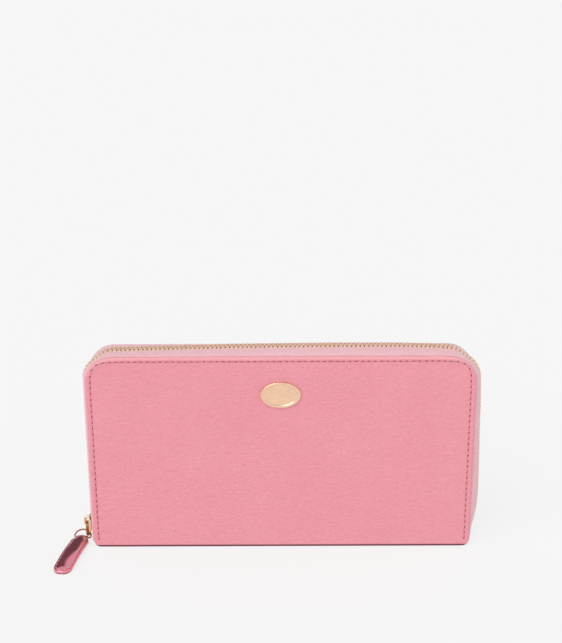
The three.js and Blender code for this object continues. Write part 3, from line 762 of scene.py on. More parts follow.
def build_seam(half, side, body):
    """The row of stitches round a cover: arched threads between needle holes, which are small dark discs
    of painted shade.
    """
    sketch = Sketch()
    shares = np.linspace(0, 1, 7)
    for first in range(0, EDGE_STEPS, STEPS_PER_STITCH):
        steps = first + STITCH_GAP + (STEPS_PER_STITCH - 2 * STITCH_GAP) * shares
        inset = seam_inset(steps) + STITCH_SLANT * (2 * shares - 1)
        x, rise = along_edge(steps, inset)
        lift = outer_lift(inset, rise, steps) - 0.12 + STITCH_ARCH * np.sin(math.pi * shares) ** 0.7
        path = on_cover(x, rise, lift, side)
        radius = 0.15 + 0.08 * np.sin(math.pi * shares) ** 0.5
        sketch.tube(path, radius, 8, up=(0, side, 0))
    for step in range(0, EDGE_STEPS + 1, STEPS_PER_STITCH):
        sketch.add(*needle_hole(step, side), look=1)
    seam = sketch.finish(f"seam_{half}", [seam_thread, hole_shade], weld=False)
    attach(seam, body, "cover_leather")


def needle_hole(step, side):
    """A small slanted oval at a stitch's end, slightly dished, coloured dark as painted shade in the
    needle hole.
    """
    count = 12
    around = np.linspace(0, 2 * math.pi, count, endpoint=False)
    along = np.append(0.62 * np.cos(around), 0)
    across = np.append(0.27 * np.sin(around), 0) + 0.25 * along
    steps = step + along
    insets = seam_inset(np.full(count + 1, float(step))) + across
    x, rise = along_edge(steps, insets)
    lift = outer_lift(insets, rise, steps) + 0.07
    lift[-1] -= 0.03
    faces = [(i, (i + 1) % count, count) for i in range(count)]
    return on_cover(x, rise, lift, side), faces


# ------------------------------------------------------------------ the outer zip


def rim(distance):
    """A place along the covers' edge: x, z and the direction out of the wallet."""
    leg = LEG_TOP - tape_foot
    arc = CORNER * math.pi / 2
    top = 2 * (HALF_WIDTH - CORNER)
    distance = np.asarray(distance, float)
    first_turn = np.clip((distance - leg) / arc, 0, 1)
    over = np.clip(distance - leg - arc, 0, top)
    second_turn = np.clip((distance - leg - arc - top) / arc, 0, 1)
    angle = math.pi - (first_turn + second_turn) * math.pi / 2
    out_x, out_z = np.cos(angle), np.sin(angle)
    centre_x = CORNER - HALF_WIDTH + over
    leg_left = np.maximum(leg - distance, 0)
    leg_right = np.maximum(distance - leg - 2 * arc - top, 0)
    z = LEG_TOP + CORNER * out_z - leg_left - leg_right
    return centre_x + CORNER * out_x, z, out_x, out_z


def bulge(distance):
    """How far the zip stands out of the covers' edge."""
    x, z, out_x, _ = rim(distance)
    left = np.interp(z, BULGE_HEIGHTS, BULGE_LEFT)
    right = np.interp(z, BULGE_HEIGHTS, BULGE_RIGHT)
    leg = np.where(x < 0, left, right)
    top = np.interp(x, BULGE_ACROSS, BULGE_TOP)
    sinking = CORNER_SINKING * 4 * out_x**2 * (1 - out_x**2)
    return top + (leg - top) * out_x**2 - sinking


def tape_section():
    """The tape's middle line as (out, y) for a bulge of one: its hem lies flat under the cover,
    then it bends out of the edge and runs in to the teeth."""
    hem = corners("front_board")
    hem_y = -(hem[0][1] + hem[1][1]) / 2
    hem_out = np.linspace(-TAPE_HEM, -0.3, 5)
    roof_y = np.array([8.85, 8.65, 8.3, 7.8, 7.1, 6.3, 5.4, 4.6, 3.8, 3.2, 2.7])
    roof_out = np.array([0.05, 0.2, 0.36, 0.48, 0.6, 0.72, 0.83, 0.9, 0.95, 0.98, 1.0])
    return np.concatenate([hem_out, roof_out]), np.concatenate([np.full(5, hem_y), roof_y])


def zip_tape(half, side, body):
    """A cover's half of the zip's tape, puckered a little beside the cover's edge."""
    sketch = Sketch()
    distances = np.linspace(0, RIM_LENGTH, 300)
    x, z, out_x, out_z = (value[:, None] for value in rim(distances))
    out, y = tape_section()
    out = np.where(out > 0, np.abs(out) ** TAPE_SLOPE[side], out)[None, :]
    stand = np.where(out > 0, out * bulge(distances)[:, None], out)
    ripple = TAPE_PUCKER * np.sin(distances * 0.9)
    stand = stand + ripple[:, None] * bump(y, 7.5, 1.5)[None, :]
    y = y[None, :] + 0 * stand
    slope_out = np.gradient(stand, axis=1)
    slope_y = np.gradient(y, axis=1)
    size = np.hypot(slope_out, slope_y)
    normal_out, normal_y = -slope_y / size, slope_out / size
    across = np.cumsum(size, axis=1)
    grain = stack(distances[:, None] + 0 * across, across, 0 * across)
    for offset in (TAPE_THICKNESS / 2, -TAPE_THICKNESS / 2):
        shifted = stand + offset * normal_out
        points = stack(x + out_x * shifted, side * (y + offset * normal_y), z + out_z * shifted)
        sketch.grid(points, grain=grain)
    outer, inner = (layer.reshape(len(distances), -1, 3) for layer in sketch.points[:2])
    for edge in (0, -1):
        sketch.grid(np.stack([outer[:, edge], inner[:, edge]], axis=1))
        sketch.grid(np.stack([outer[edge], inner[edge]], axis=1))
    tape = sketch.finish(f"tape_{half}", [tape_cloth])
    attach(tape, body, "zip_tape", f"{half}_zip_tape")


def tooth():
    """One tooth as rings of (along, out, y): a broad clamp on the tape, a waist and a rounded head."""
    stations = [
        (3.3, 0.6, 0.4),
        (3.08, 0.8, 0.55),
        (2.7, 0.84, 0.72),
        (1.9, 0.84, 0.74),
        (1.35, 0.76, 0.72),
        (0.9, 0.48, 0.66),
        (0.3, 0.52, 0.68),
        (-0.4, 0.5, 0.62),
        (-0.75, 0.3, 0.4),
    ]
    squareness = 0.6
    angles = np.linspace(0, 2 * math.pi, 10, endpoint=False) + math.pi / 10
    cosine, sine = np.cos(angles), np.sin(angles)
    along = np.sign(cosine) * np.abs(cosine) ** squareness
    out = np.sign(sine) * np.abs(sine) ** squareness
    return np.array([stack(wide * along, thick * out, y) for y, wide, thick in stations])


def zip_teeth(half, side, body):
    """A row of separate teeth, evenly spaced along the line where they stand. The front row starts
    above the slider, and its teeth stand between those of the back row."""
    lowest, offset = (slider_top + SLIDER_GAP, TEETH_PITCH / 2) if side < 0 else (teeth_foot, 0.0)
    distances = np.linspace(0, RIM_LENGTH, 4000)
    x, z, out_x, out_z = rim(distances)
    reach = bulge(distances)
    line_x, line_z = x + out_x * reach, z + out_z * reach
    length = np.concatenate([[0], np.cumsum(np.hypot(np.diff(line_x), np.diff(line_z)))])
    keep_left = np.interp(lowest - tape_foot, distances, length)
    keep_right = length[-1] - (teeth_foot - tape_foot)
    places = np.arange(offset, length[-1], TEETH_PITCH)
    places = places[(places >= keep_left) & (places <= keep_right)]
    along, out, y = np.moveaxis(tooth(), -1, 0)
    sketch = Sketch()
    for distance in np.interp(places, length, distances):
        _, _, out_x, out_z = rim(distance)
        middle_x = np.interp(distance, distances, line_x)
        middle_z = np.interp(distance, distances, line_z)
        tooth_x = middle_x + along * out_z + out * out_x
        tooth_z = middle_z - along * out_x + out * out_z
        sketch.grid(stack(tooth_x, side * y, tooth_z), close_columns=True, caps=True)
    row = sketch.finish(f"teeth_{half}", [teeth_gold], sharp=50, weld=False)
    attach(row, body, "teeth_metal", f"{half}_zip_teeth")


def zip_stop(half, end, body):
    """A small crimped bar at the end of a row of teeth."""
    node_name = f"{half}_zip_stop_{end}"
    middle, size = middle_and_half(node_name)
    across, bulges = (-1, BULGE_LEFT) if end == "left" else (1, BULGE_RIGHT)
    middle[0] = across * (HALF_WIDTH + np.interp(middle[2], BULGE_HEIGHTS, bulges))

    def place(u, v, height):
        return middle + np.array([height, u, v])

    sketch = Sketch()
    sketch.add(*bevelled(rectangle(size[1], size[2]), -0.62, 0.62, place, 0.25, 3))
    stop = sketch.finish(f"stop_{half}_{end}", [teeth_gold], weld=False)
    attach(stop, body, "teeth_metal", node_name)


# ------------------------------------------------------------------ slider and pull


def rounded_outline(half_u, half_v, radius, taper):
    """A rounded rectangle, narrower by the taper at its high-u end."""
    points = []
    for sign_u, sign_v, start in ((1, -1, -90), (1, 1, 0), (-1, 1, 90), (-1, -1, 180)):
        middle = (sign_u * (half_u - radius), sign_v * (half_v - radius))
        points += arc(middle, (radius, radius), start, start + 90, 5)
    return [(u, v * (1 - taper * (u + half_u) / (2 * half_u))) for u, v in points]


def slider_casting(place, half_length, half_width, strap_top, size):
    """Two waisted plates with turned-in flanges round the teeth, and an arched strap that holds the
    pull. place turns (along, across, height above the teeth) into the row frame."""
    inner, outer = size["plate"]
    sketch = Sketch()
    plate = rounded_outline(half_length, half_width, size["corner"], size["taper"])
    for bottom, top in ((inner, outer), (-outer, -inner)):
        sketch.add(*bevelled(plate, bottom, top, place, size["plate_bevel"], 3))
    start = -half_length + size["flange_ends"][0]
    end = half_length - size["flange_ends"][1]
    slot, lap, waist = size["slot"], size["lap"], size["waist"]
    for side in (-1, 1):
        near, far = side * (half_width - size["flange"]), side * half_width
        outline = [(start, near), (end, near * waist), (end, far * waist), (start, far)]
        for bottom, top in ((slot, inner + lap), (-inner - lap, -slot)):
            sketch.add(*bevelled(outline, bottom, top, place, size["flange_bevel"], 2))
    first = STRAP_SHARES[0] * half_length + STRAP_INSET
    last = STRAP_SHARES[1] * half_length - STRAP_INSET
    turns = np.linspace(0, math.pi, size["strap_steps"])
    swing = np.sign(np.cos(turns)) * np.abs(np.cos(turns)) ** STRAP_SQUARENESS
    along = (first + last) / 2 - (last - first) / 2 * swing
    foot = outer - size["strap_sunk"]
    height = foot + (strap_top - foot) * np.sin(turns) ** STRAP_SQUARENESS
    path = np.array([place(u, 0, h) for u, h in zip(along, height)])
    sketch.tube(path, size["strap_wire"], size["strap_sides"], up=(0, 1, 0), flat=size["strap_flat"])
    return sketch


def build_slider():
    """The outer zip's slider, with the post that parts the teeth."""
    middle, half = middle_and_half("zip_slider")
    plane = middle[0] + 1.3
    inner = OUTER_SLIDER["plate"][0]

    def place(u, v, height):
        return np.array([plane - height, v, middle[2] + u])

    strap_top = plane - (middle[0] - half[0]) - 0.42
    sketch = slider_casting(place, half[2], half[1], strap_top, OUTER_SLIDER)
    post = [(0.3 - half[2], 0), (1.4 - half[2], -0.3), (2.9 - half[2], 0), (1.4 - half[2], 0.3)]
    sketch.add(*bevelled(post, -inner - 0.2, inner + 0.2, place, 0.08, 2))
    slider = sketch.finish("slider_body", [slider_gold], sharp=40, weld=False)
    attach(slider, "zip_slider", "slider_metal", "zip_slider")


def build_link():
    """The cast link that hangs from the slider's strap, heavier at its lower end."""
    middle, half = middle_and_half("pull_link")
    wire = half[0]
    half_width, half_height = half[1] - wire, half[2] - wire
    straight = half_height - half_width
    turns = np.linspace(0, 2 * math.pi, 56, endpoint=False)
    up = np.sin(turns)
    rise = half_width * up + straight * np.sign(up) * np.minimum(1, 3 * np.abs(up))
    path = stack(middle[0], middle[1] + half_width * np.cos(turns), middle[2] + rise)
    heavy = 1.25 + 0.3 * smoothstep(0.2, 1, -rise / half_height)
    sketch = Sketch()
    sketch.tube(path, wire * heavy, 14, closed=True, up=(1, 0, 0))
    link = sketch.finish("link_body", [pull_gold], weld=False)
    attach(link, "pull_link", "pull_metal", "pull_link")


def build_ring():
    """A wire ring with a straight bar through the tab's fold. Its ends meet in the bar."""
    up = -TAB_FORWARD * math.sin(RING_LEAN) + np.array([0, 0, 1.0]) * math.cos(RING_LEAN)
    half_bar = RING_RADIUS - RING_CORNER
    small = (RING_CORNER, RING_CORNER)
    path = [(u, 0.0) for u in np.linspace(-half_bar, half_bar, 9)]
    path += arc((half_bar, RING_CORNER), small, -75, 0, 6)
    path += arc((0, RING_CORNER), (RING_RADIUS, RING_RADIUS - RING_CORNER), 6, 174, 29)
    path += arc((-half_bar, RING_CORNER), small, 180, 255, 6)
    points = np.array([bar_middle + u * BAR_ALONG + v * up for u, v in path])
    sketch = Sketch()
    sketch.tube(points, RING_WIRE, 12, closed=True, up=np.cross(BAR_ALONG, up))
    ring = sketch.finish("ring_body", [pull_gold], weld=False)
    attach(ring, "pull_ring", "pull_metal", "pull_ring")


def tab_half_width(forward):
    """Half the tab's width at a distance in front of the bar."""
    shoulder = TAB_NECK + (TAB_HALF - TAB_NECK) * smoothstep(0.6, 5.0, forward)
    from_tip = forward - (TAB_LENGTH - TAB_HALF)
    tip = np.sqrt(np.maximum(1 - (np.maximum(from_tip, 0) / TAB_HALF) ** 2, 0))
    return shoulder * tip


def on_tab(forward, across, lift):
    """A point of the tab: forward from the bar, across it, and lift above its middle, which bows up."""
    forward, across, lift = np.broadcast_arrays(forward, across, lift)
    along = np.clip(forward / TAB_LENGTH, 0, 1)
    lift = lift + TAB_BOW * np.sin(math.pi * along) ** 2
    place = bar_middle + forward[..., None] * TAB_FORWARD + across[..., None] * BAR_ALONG
    return place + lift[..., None] * np.array([0, 0, 1.0])


def tab_inset(forward, share):
    """Distance of a place from the tab's outline, near enough for its relief."""
    return np.minimum(tab_half_width(forward) * (1 - np.abs(share)), TAB_LENGTH - forward)


def tab_lift(inset):
    """The tab's top face: a rounded edge, a stitched groove and a puffed middle."""
    edge = TAB_HALF_THICKNESS - 0.25
    rounded = edge * np.sqrt(np.clip(1 - (1 - np.clip(inset / 0.55, 0, 1)) ** 2, 0, 1))
    groove = 0.1 * bump(inset, 1.15, 0.3)
    dome = TAB_DOME * (1 - (1 - np.clip(inset / TAB_HALF, 0, 1)) ** 2)
    return rounded - groove + dome


def build_tab():
    """The tab: two glossy leathers back to back round the ring's bar, edges painted, stitched round."""
    share = np.sin(np.linspace(-math.pi / 2, math.pi / 2, 33))[None, :]
    tip_start = TAB_LENGTH - TAB_HALF
    tip = tip_start + TAB_HALF * np.sin(np.linspace(0, math.pi / 2, 18))[1:]
    forward = np.concatenate([np.linspace(0, tip_start, 60), tip])[:, None]
    across = share * tab_half_width(forward)
    above = tab_lift(tab_inset(forward, share))
    grain = stack(across, forward, 0 * across)
    sketch = Sketch()
    sketch.grid(on_tab(forward, across, above), grain=grain)
    sketch.grid(on_tab(forward, across, -np.minimum(above, TAB_UNDERSIDE)), grain=grain)
    turns = np.linspace(-math.pi / 2, math.pi / 2, 9)[:, None]
    neck_above = tab_lift(tab_inset(np.zeros(1), share))
    neck_lift = np.where(np.sin(turns) > 0, neck_above, np.minimum(neck_above, TAB_UNDERSIDE))
    behind = -0.85 * np.cos(turns) + 0 * share
    neck_across = share * tab_half_width(np.zeros(1))
    sketch.grid(on_tab(behind, neck_across, neck_lift * np.sin(turns)))
    tab = sketch.finish("tab_body", [tab_pink, edge_paint], sharp=60)
    paint_edges(tab)
    attach(tab, "pull_tab", "tab_leather", "pull_tab")
    build_tab_seam()


def paint_edges(tab):
    """Gives the lower part of the tab's rim the dark edge paint."""
    for face in tab.data.polygons:
        place = np.array(face.center) / MILLI - bar_middle
        if face.normal.z < -0.1 and place[2] > -0.8 and np.dot(place, TAB_FORWARD) > 0.2:
            face.material_index = 1


def tab_outline(inset, steps):
    """Points of a line round the tab at an inset, from its left shoulder round the tip to the right."""
    straight = np.linspace(1.5, TAB_LENGTH - TAB_HALF, 200)
    half = tab_half_width(straight) - inset
    turns = np.linspace(0, math.pi, 80)[1:-1]
    tip_radius = TAB_HALF - inset
    tip = TAB_LENGTH - TAB_HALF + tip_radius * np.sin(turns)
    forward = np.concatenate([straight, tip, straight[::-1]])
    across = np.concatenate([-half, -tip_radius * np.cos(turns), half[::-1]])
    length = np.concatenate([[0], np.cumsum(np.hypot(np.diff(forward), np.diff(across)))])
    places = np.linspace(0, length[-1], steps)
    return np.interp(places, length, forward), np.interp(places, length, across)


def build_tab_seam():
    """The row of arched stitches round the tab."""
    per_stitch = 9
    forward, across = tab_outline(TAB_SEAM_INSET, TAB_STITCHES * per_stitch + 1)
    arch = np.sin(math.pi * np.linspace(0, 1, per_stitch - 1))
    lift = tab_lift(np.full(per_stitch - 1, TAB_SEAM_INSET)) - 0.08 + 0.2 * np.maximum(arch, 0) ** 0.7
    sketch = Sketch()
    for index in range(TAB_STITCHES):
        picked = slice(index * per_stitch + 1, (index + 1) * per_stitch)
        sketch.tube(on_tab(forward[picked], across[picked], lift), 0.13 + 0.05 * arch, 8)
    seam = sketch.finish("tab_seam", [pale_thread], weld=False)
    attach(seam, "pull_tab", "tab_leather")


def build_emblem():
    """A plain oval plate: a polished raised rim round a shallow domed field."""
    middle, half = middle_and_half("emblem_plate")
    face = -(middle[1] - half[1])
    # Rings from the edge inwards, as distance from the edge and depth below the rim's face.
    edge = [(0.0, 1.2), (0.0, 0.35), (0.06, 0.16), (0.2, 0.04)]
    rim_face = [(0.4, 0.0), (0.85, 0.0), (1.05, 0.05), (1.2, 0.16), (1.28, 0.34)]
    field = [(1.42, 0.46), (1.8, 0.46), (2.6, 0.38), (3.6, 0.28), (4.6, 0.2), (5.6, 0.15), (6.5, 0.13)]
    turns = np.linspace(0, 2 * math.pi, 96, endpoint=False)
    rings = []
    for inset, depth in edge + rim_face + field:
        share = inset / half[2]
        across = half[0] * (1 - share) + inset * 0.25 * share
        x = middle[0] + across * np.cos(turns)
        z = middle[2] + (half[2] - inset) * np.sin(turns)
        rings.append(stack(x, depth - face, z))
    sketch = Sketch()
    sketch.grid(np.array(rings), close_columns=True, caps=True)
    emblem = sketch.finish("emblem_oval", [emblem_gold], sharp=50, weld=False)
    attach(emblem, "front_half", "emblem_metal", "emblem_plate")


# ------------------------------------------------------------------ the inside


def eased_steps(low, high, count):
    """Places from low to high, close together at both ends for the rounded edges."""
    steps = np.concatenate([[0, 0.12, 0.3, 0.6], np.linspace(1.2, high - low - 1.2, count)])
    return np.concatenate([low + steps, high - steps[3::-1]])


def soft_slab(name, node_name, material, body, slot, face_side, relief):
    """A sheet of the inside in its CAD solid's place, with rounded edges. relief gives the lift of the
    face that shows from x, z and the distance to the sheet's top."""
    low, high = corners(node_name)
    x, z = np.meshgrid(eased_steps(low[0], high[0], 60), eased_steps(low[2], high[2], 30))
    gap = np.minimum.reduce([x - low[0], high[0] - x, z - low[2], high[2] - z])
    round_off = np.clip(gap / SHEET_ROUNDING, 0, 1)
    thick = (high[1] - low[1]) / 2 * np.sqrt(1 - (1 - round_off) ** 2)
    middle = (low[1] + high[1]) / 2
    shown = thick + relief(x, z, high[2] - z) * round_off
    sketch = Sketch()
    for lift, sign in ((shown, face_side), (thick, -face_side)):
        sketch.grid(stack(x, middle + sign * lift, z), grain=stack(x, 60.0 * face_side, z))
    piece = sketch.finish(name, [material], sharp=70)
    attach(piece, body, slot, node_name)


def strip_relief(x, z, below_top):
    """A card strip's rolled top edge with its crease, and its sewn middle and ends."""
    rolled = 0.16 * bump(below_top, 0.9, 0.7) - 0.08 * bump(below_top, 2.4, 0.35)
    seams = -0.1 * bump(x, 0, 0.8)
    soft = 0.1 * soft_noise(stack(x, z, 0 * x), 18.0, 9.0)
    return rolled + seams + soft


def pocket_relief(x, z, below_top):
    """The coin pocket's wall: a turned top edge, and a soft fullness in its middle."""
    turned = 0.14 * bump(below_top, 1.3, 1.1) - 0.1 * bump(below_top, 3.0, 0.4)
    width = smoothstep(88, 40, np.abs(x)) * smoothstep(3, 30, z) * smoothstep(0, 25, below_top)
    return turned + 0.5 * width + 0.12 * soft_noise(stack(x, z, 0 * x), 20.0, 12.0)


def lining_panel(half, side, body):
    """The lining glued in behind the zip's hem, its edge turned under and stitched round."""
    node_name = f"{half}_lining"
    inner, outer = depth_range(node_name)
    low, high = corners(node_name)
    margin = HALF_WIDTH - high[0]
    stride = 3
    rises = np.concatenate([[low[2], low[2] + 0.4], LEG_TOP - np.arange(0, 84, stride)[::-1]])
    middle = (outer + inner) / 2
    sketch = Sketch()
    for x, rise, inset, _ in cover_patches(rises, margin, stride):
        gap = np.maximum(inset - margin, 0)
        round_off = np.clip(gap / 0.6, 0, 1)
        half_thick = (outer - inner) / 2 * np.sqrt(1 - (1 - round_off) ** 2)
        turned = 0.1 * bump(gap, 1.4, 0.8) - 0.12 * bump(gap, 2.9, 0.5)
        soft = 0.1 * soft_noise(stack(x, rise, 0 * x), 14.0, 6.0) * smoothstep(2, 6, gap)
        shown = half_thick + (turned + soft) * round_off
        for lift, sign in ((shown, -1), (half_thick, 1)):
            y = side * (middle + sign * lift)
            sketch.grid(stack(x, y, rise), grain=stack(x, rise, 70.0 * side))
    piece = sketch.finish(f"lining_{half}", [lining_cloth], sharp=70)
    attach(piece, body, "lining", node_name)


def sewn_line(sketch, start, end, outwards):
    """A straight run of small arched stitches from one point to another."""
    start, end, outwards = (np.asarray(v, float) for v in (start, end, outwards))
    count = max(1, int(np.linalg.norm(end - start) / SEWN_PITCH))
    shares = np.linspace(0, 1, 6)
    for index in range(count):
        places = (index + 0.12 + 0.76 * shares) / count
        arch = 0.22 * np.sin(math.pi * shares)[:, None] - 0.06
        path = start + (end - start) * places[:, None] + outwards * arch
        sketch.tube(path, SEWN_THREAD * (0.7 + 0.3 * np.sin(math.pi * shares)), 6, up=outwards)


def card_strips(half, side, body):
    """Three stepped strips of card slots, sewn down the middle and at both ends."""
    sketch = Sketch()
    names = [f"{half}_card_strip_{index}" for index in (1, 2, 3)]
    tops = [corners(node_name)[1][2] for node_name in names]
    floors = [*tops[1:], tops[2] - 14]
    for index, (node_name, top, floor) in enumerate(zip(names, tops, floors), start=1):
        name = f"card_strip_{half}_{index}"
        soft_slab(name, node_name, card_leather, body, "card_leather", -side, strip_relief)
        low, high = corners(node_name)
        face = side * depth_range(node_name)[0]
        for x in (low[0] + 1.6, 0.0, high[0] - 1.6):
            sewn_line(sketch, (x, face, top - 0.8), (x, face, floor + 0.6), (0, -side, 0))
    seam = sketch.finish(f"card_seams_{half}", [card_thread], weld=False)
    attach(seam, body, "card_leather")


def gusset(half, end, side):
    """A folded cloth sheet from a cover's lining to its seam on the coin pocket."""
    node_name = f"{half}_gusset_{end}"
    low, high = corners(node_name)
    across = 1 if end == "right" else -1
    fold, outer = sorted((abs(low[0]), abs(high[0])))
    fold, outer = fold + GUSSET_CLEARANCE, outer - GUSSET_CLEARANCE
    near, far = depth_range(node_name)
    near, far = near + GUSSET_CLEARANCE, far - GUSSET_CLEARANCE
    shares = np.linspace(0, 1, 25)
    y = far + (near - far) * np.minimum(shares / 0.8, 1)
    inwards = np.sin(np.minimum(2 * shares, 1) * math.pi / 2) ** 0.8
    sewn = np.maximum(2 * shares - 1, 0) ** 1.5
    x = outer + (fold - outer) * inwards + (GUSSET_SEAM - 1.2 - fold) * sewn
    heights = np.linspace(low[2], high[2], 26)[:, None]
    ripple = 0.08 * np.sin(heights * 0.35 + 4 * shares)
    sketch = Sketch()
    for offset in (-GUSSET_HALF_THICKNESS, GUSSET_HALF_THICKNESS):
        points = stack(across * (x + offset + ripple), side * y, heights)
        sketch.grid(points, grain=stack(heights + 0 * x, 9.0 * shares, offset))
    first, second = (layer.reshape(len(heights), -1, 3) for layer in sketch.points[:2])
    for edge in (0, -1):
        sketch.grid(np.stack([first[edge], second[edge]]))
        sketch.grid(np.stack([first[:, edge], second[:, edge]]))
    piece = sketch.finish(f"gusset_{half}_{end}", [lining_cloth], sharp=70)
    if side > 0:
        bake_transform(piece)
    else:
        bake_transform(piece)
    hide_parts(node_name)


def coin_pocket():
    """The zipped pocket in the middle: walls, side and bottom bindings, and its zip but the slider."""
    body = "coin_pocket"
    sketch = Sketch()
    for name, side in (("front", -1), ("back", 1)):
        node_name = f"coin_panel_{name}"
        soft_slab(f"coin_wall_{name}", node_name, pocket_leather, body, "lining", side, pocket_relief)
        low, high = corners(node_name)
        face = side * depth_range(node_name)[1]
        seam_z = high[2] - 3.0
        sewn_line(sketch, (low[0] + 2, face, seam_z), (high[0] - 2, face, seam_z), (0, side, 0))
        on_gusset = face + side * 0.62
        for x in (-GUSSET_SEAM, GUSSET_SEAM):
            sewn_line(sketch, (x, on_gusset, low[2] + 2), (x, on_gusset, high[2] - 5), (0, side, 0))
        coin_tape(name, side)
        coin_teeth(name, side)
    seam = sketch.finish("coin_seams", [card_thread], weld=False)
    attach(seam, body, "lining")
    for end in ("bottom", "left", "right"):
        rounded_block(f"coin_edge_{end}", f"coin_binding_{end}", 0.16, card_leather, "card_leather")
    for end in ("left", "right"):
        rounded_block(f"coin_stop_{end}", f"coin_zip_stop_{end}", 0.2, teeth_gold, "teeth_metal")


def rounded_block(name, node_name, bevel, material, slot):
    """A narrow strip or small block of the coin pocket, with well-rounded edges."""
    middle, half = middle_and_half(node_name)

    def place(u, v, height):
        return middle + np.array([u, v, height])

    sketch = Sketch()
    sketch.add(*bevelled(rectangle(half[0], half[1]), -half[2], half[2], place, bevel, 3))
    piece = sketch.finish(name, [material], weld=False)
    attach(piece, "coin_pocket", slot, node_name)


def coin_tape(name, side):
    """A cloth tape that lies on the pocket's edge and thickens towards the teeth."""
    node_name = f"coin_zip_tape_{name}"
    low, high = corners(node_name)
    middle, half = middle_and_half(node_name)
    near, far = depth_range(node_name)
    x = np.linspace(low[0], high[0], 90)[:, None]
    shares = np.linspace(0, 1, 9)[None, :]
    y = side * (near + (far - near) * shares)
    round_off = np.sqrt(1 - (2 * np.abs(shares - 0.5)) ** 6)
    cord = 0.12 * bump(shares, 0.1, 0.12)
    sketch = Sketch()
    for sign in (-1, 1):
        z = middle[2] + sign * (half[2] * round_off + cord) + 0.05 * np.sin(0.4 * x)
        sketch.grid(stack(x, y, z), grain=stack(x, y + 0 * z, 0))
    piece = sketch.finish(f"coin_tape_{name}", [tape_cloth], sharp=70)
    attach(piece, "coin_pocket", "zip_tape", node_name)


def coin_teeth(name, side):
    """A straight row of small teeth, set half a pitch from the row opposite."""
    node_name = f"coin_zip_teeth_{name}"
    low, high = corners(node_name)
    middle_z = (low[2] + high[2]) / 2
    outer = depth_range(node_name)[1]
    first = low[0] + (0.5 if side < 0 else 0.5 + COIN_PITCH / 2)
    along, out, y = np.moveaxis(tooth(), -1, 0)
    head = 0.75  # the big tooth's head, below its middle line
    scale_y = (outer + 0.3) / (y[0, 0] + head)
    sketch = Sketch()
    for x in np.arange(first, high[0] - 0.4, COIN_PITCH):
        points = stack(x + 0.7 * along, side * (scale_y * (y + head) - 0.3), middle_z + 0.62 * out)
        sketch.grid(points, close_columns=True, caps=True)
    row = sketch.finish(f"coin_teeth_{name}", [teeth_gold], sharp=50, weld=False)
    attach(row, "coin_pocket", "teeth_metal", node_name)


def build_coin_slider():
    """The coin pocket's slider, lying on its small teeth."""
    middle, half = middle_and_half("coin_slider")
    low, high = corners("coin_slider")
    plane = low[2] + 1.4

    def place(u, v, height):
        return np.array([middle[0] + u, middle[1] + v, plane + height])

    sketch = slider_casting(place, half[0], half[1], high[2] - plane - 0.32, COIN_SLIDER)
    slider = sketch.finish("coin_slider_body", [slider_gold], sharp=40, weld=False)
    attach(slider, "coin_slider", "slider_metal", "coin_slider")


def build_coin_puller():
    """A flat drop-shaped puller with an eye at the slider and rounded edges."""
    low, high = corners("coin_puller")
    middle, half = middle_and_half("coin_puller")
    length = high[0] - low[0]
    eye_near, eye_far, eye_half = low[0] + 0.85, low[0] + 3.9, 0.9
    forwards = np.linspace(0, 1, 40)
    x = low[0] + 0.05 + (length - 0.05) * forwards
    tip = np.clip((forwards * length - (length - half[1])) / half[1], 0, 1)
    width = half[1] * (0.82 + 0.18 * forwards) * np.sqrt(np.maximum(1 - tip**2, 0))
    outline = np.concatenate([stack(x, -width), stack(x, width)[-2::-1]])
    eye = np.array([(eye_near, -eye_half), (eye_far, eye_half)])
    sketch = Sketch()
    sketch.add(*plate_with_eye(outline, eye, half[2], middle))
    puller = sketch.finish("coin_puller_body", [slider_gold], sharp=30)
    rounding = puller.modifiers.new("edges", "BEVEL")
    rounding.width = 0.16 * MILLI
    rounding.segments = 3
    rounding.limit_method = "ANGLE"
    attach(puller, "coin_puller", "slider_metal", "coin_puller")


def plate_with_eye(outer, eye, half_z, middle):
    """A flat plate with a square eye, given by its low and high corner. The two faces of the plate are
    bridged between the outline and the eye."""
    centre = eye.mean(axis=0)
    away = outer - centre
    reach = np.abs(away) / ((eye[1] - eye[0]) / 2)
    inner = centre + away / np.maximum(reach.max(axis=1, keepdims=True), 1e-6)
    count = len(outer)
    layers = []
    for ring, sign in ((outer, 1), (inner, 1), (inner, -1), (outer, -1)):
        layers.append(stack(ring[:, 0], middle[1] + ring[:, 1], middle[2] + sign * half_z))
    faces = []
    for layer in range(4):
        here, following = layer * count, (layer + 1) % 4 * count
        for i in range(count):
            j = (i + 1) % count
            faces.append((here + i, here + j, following + j, following + i))
    return np.concatenate(layers), faces


def paint_hidden_parts():
    """The boards, the foot's lining and the backplate keep their CAD shapes and get real finishes."""
    looks = {
        "front_board": board_card,
        "back_board": board_card,
        "spine_lining": foot_lining,
        "emblem_backplate": backplate_metal,
    }
    for name, material in looks.items():
        mesh = frame["nodes"][name].data
        mesh.materials.clear()
        mesh.materials.append(material)


# ------------------------------------------------------------------ stage


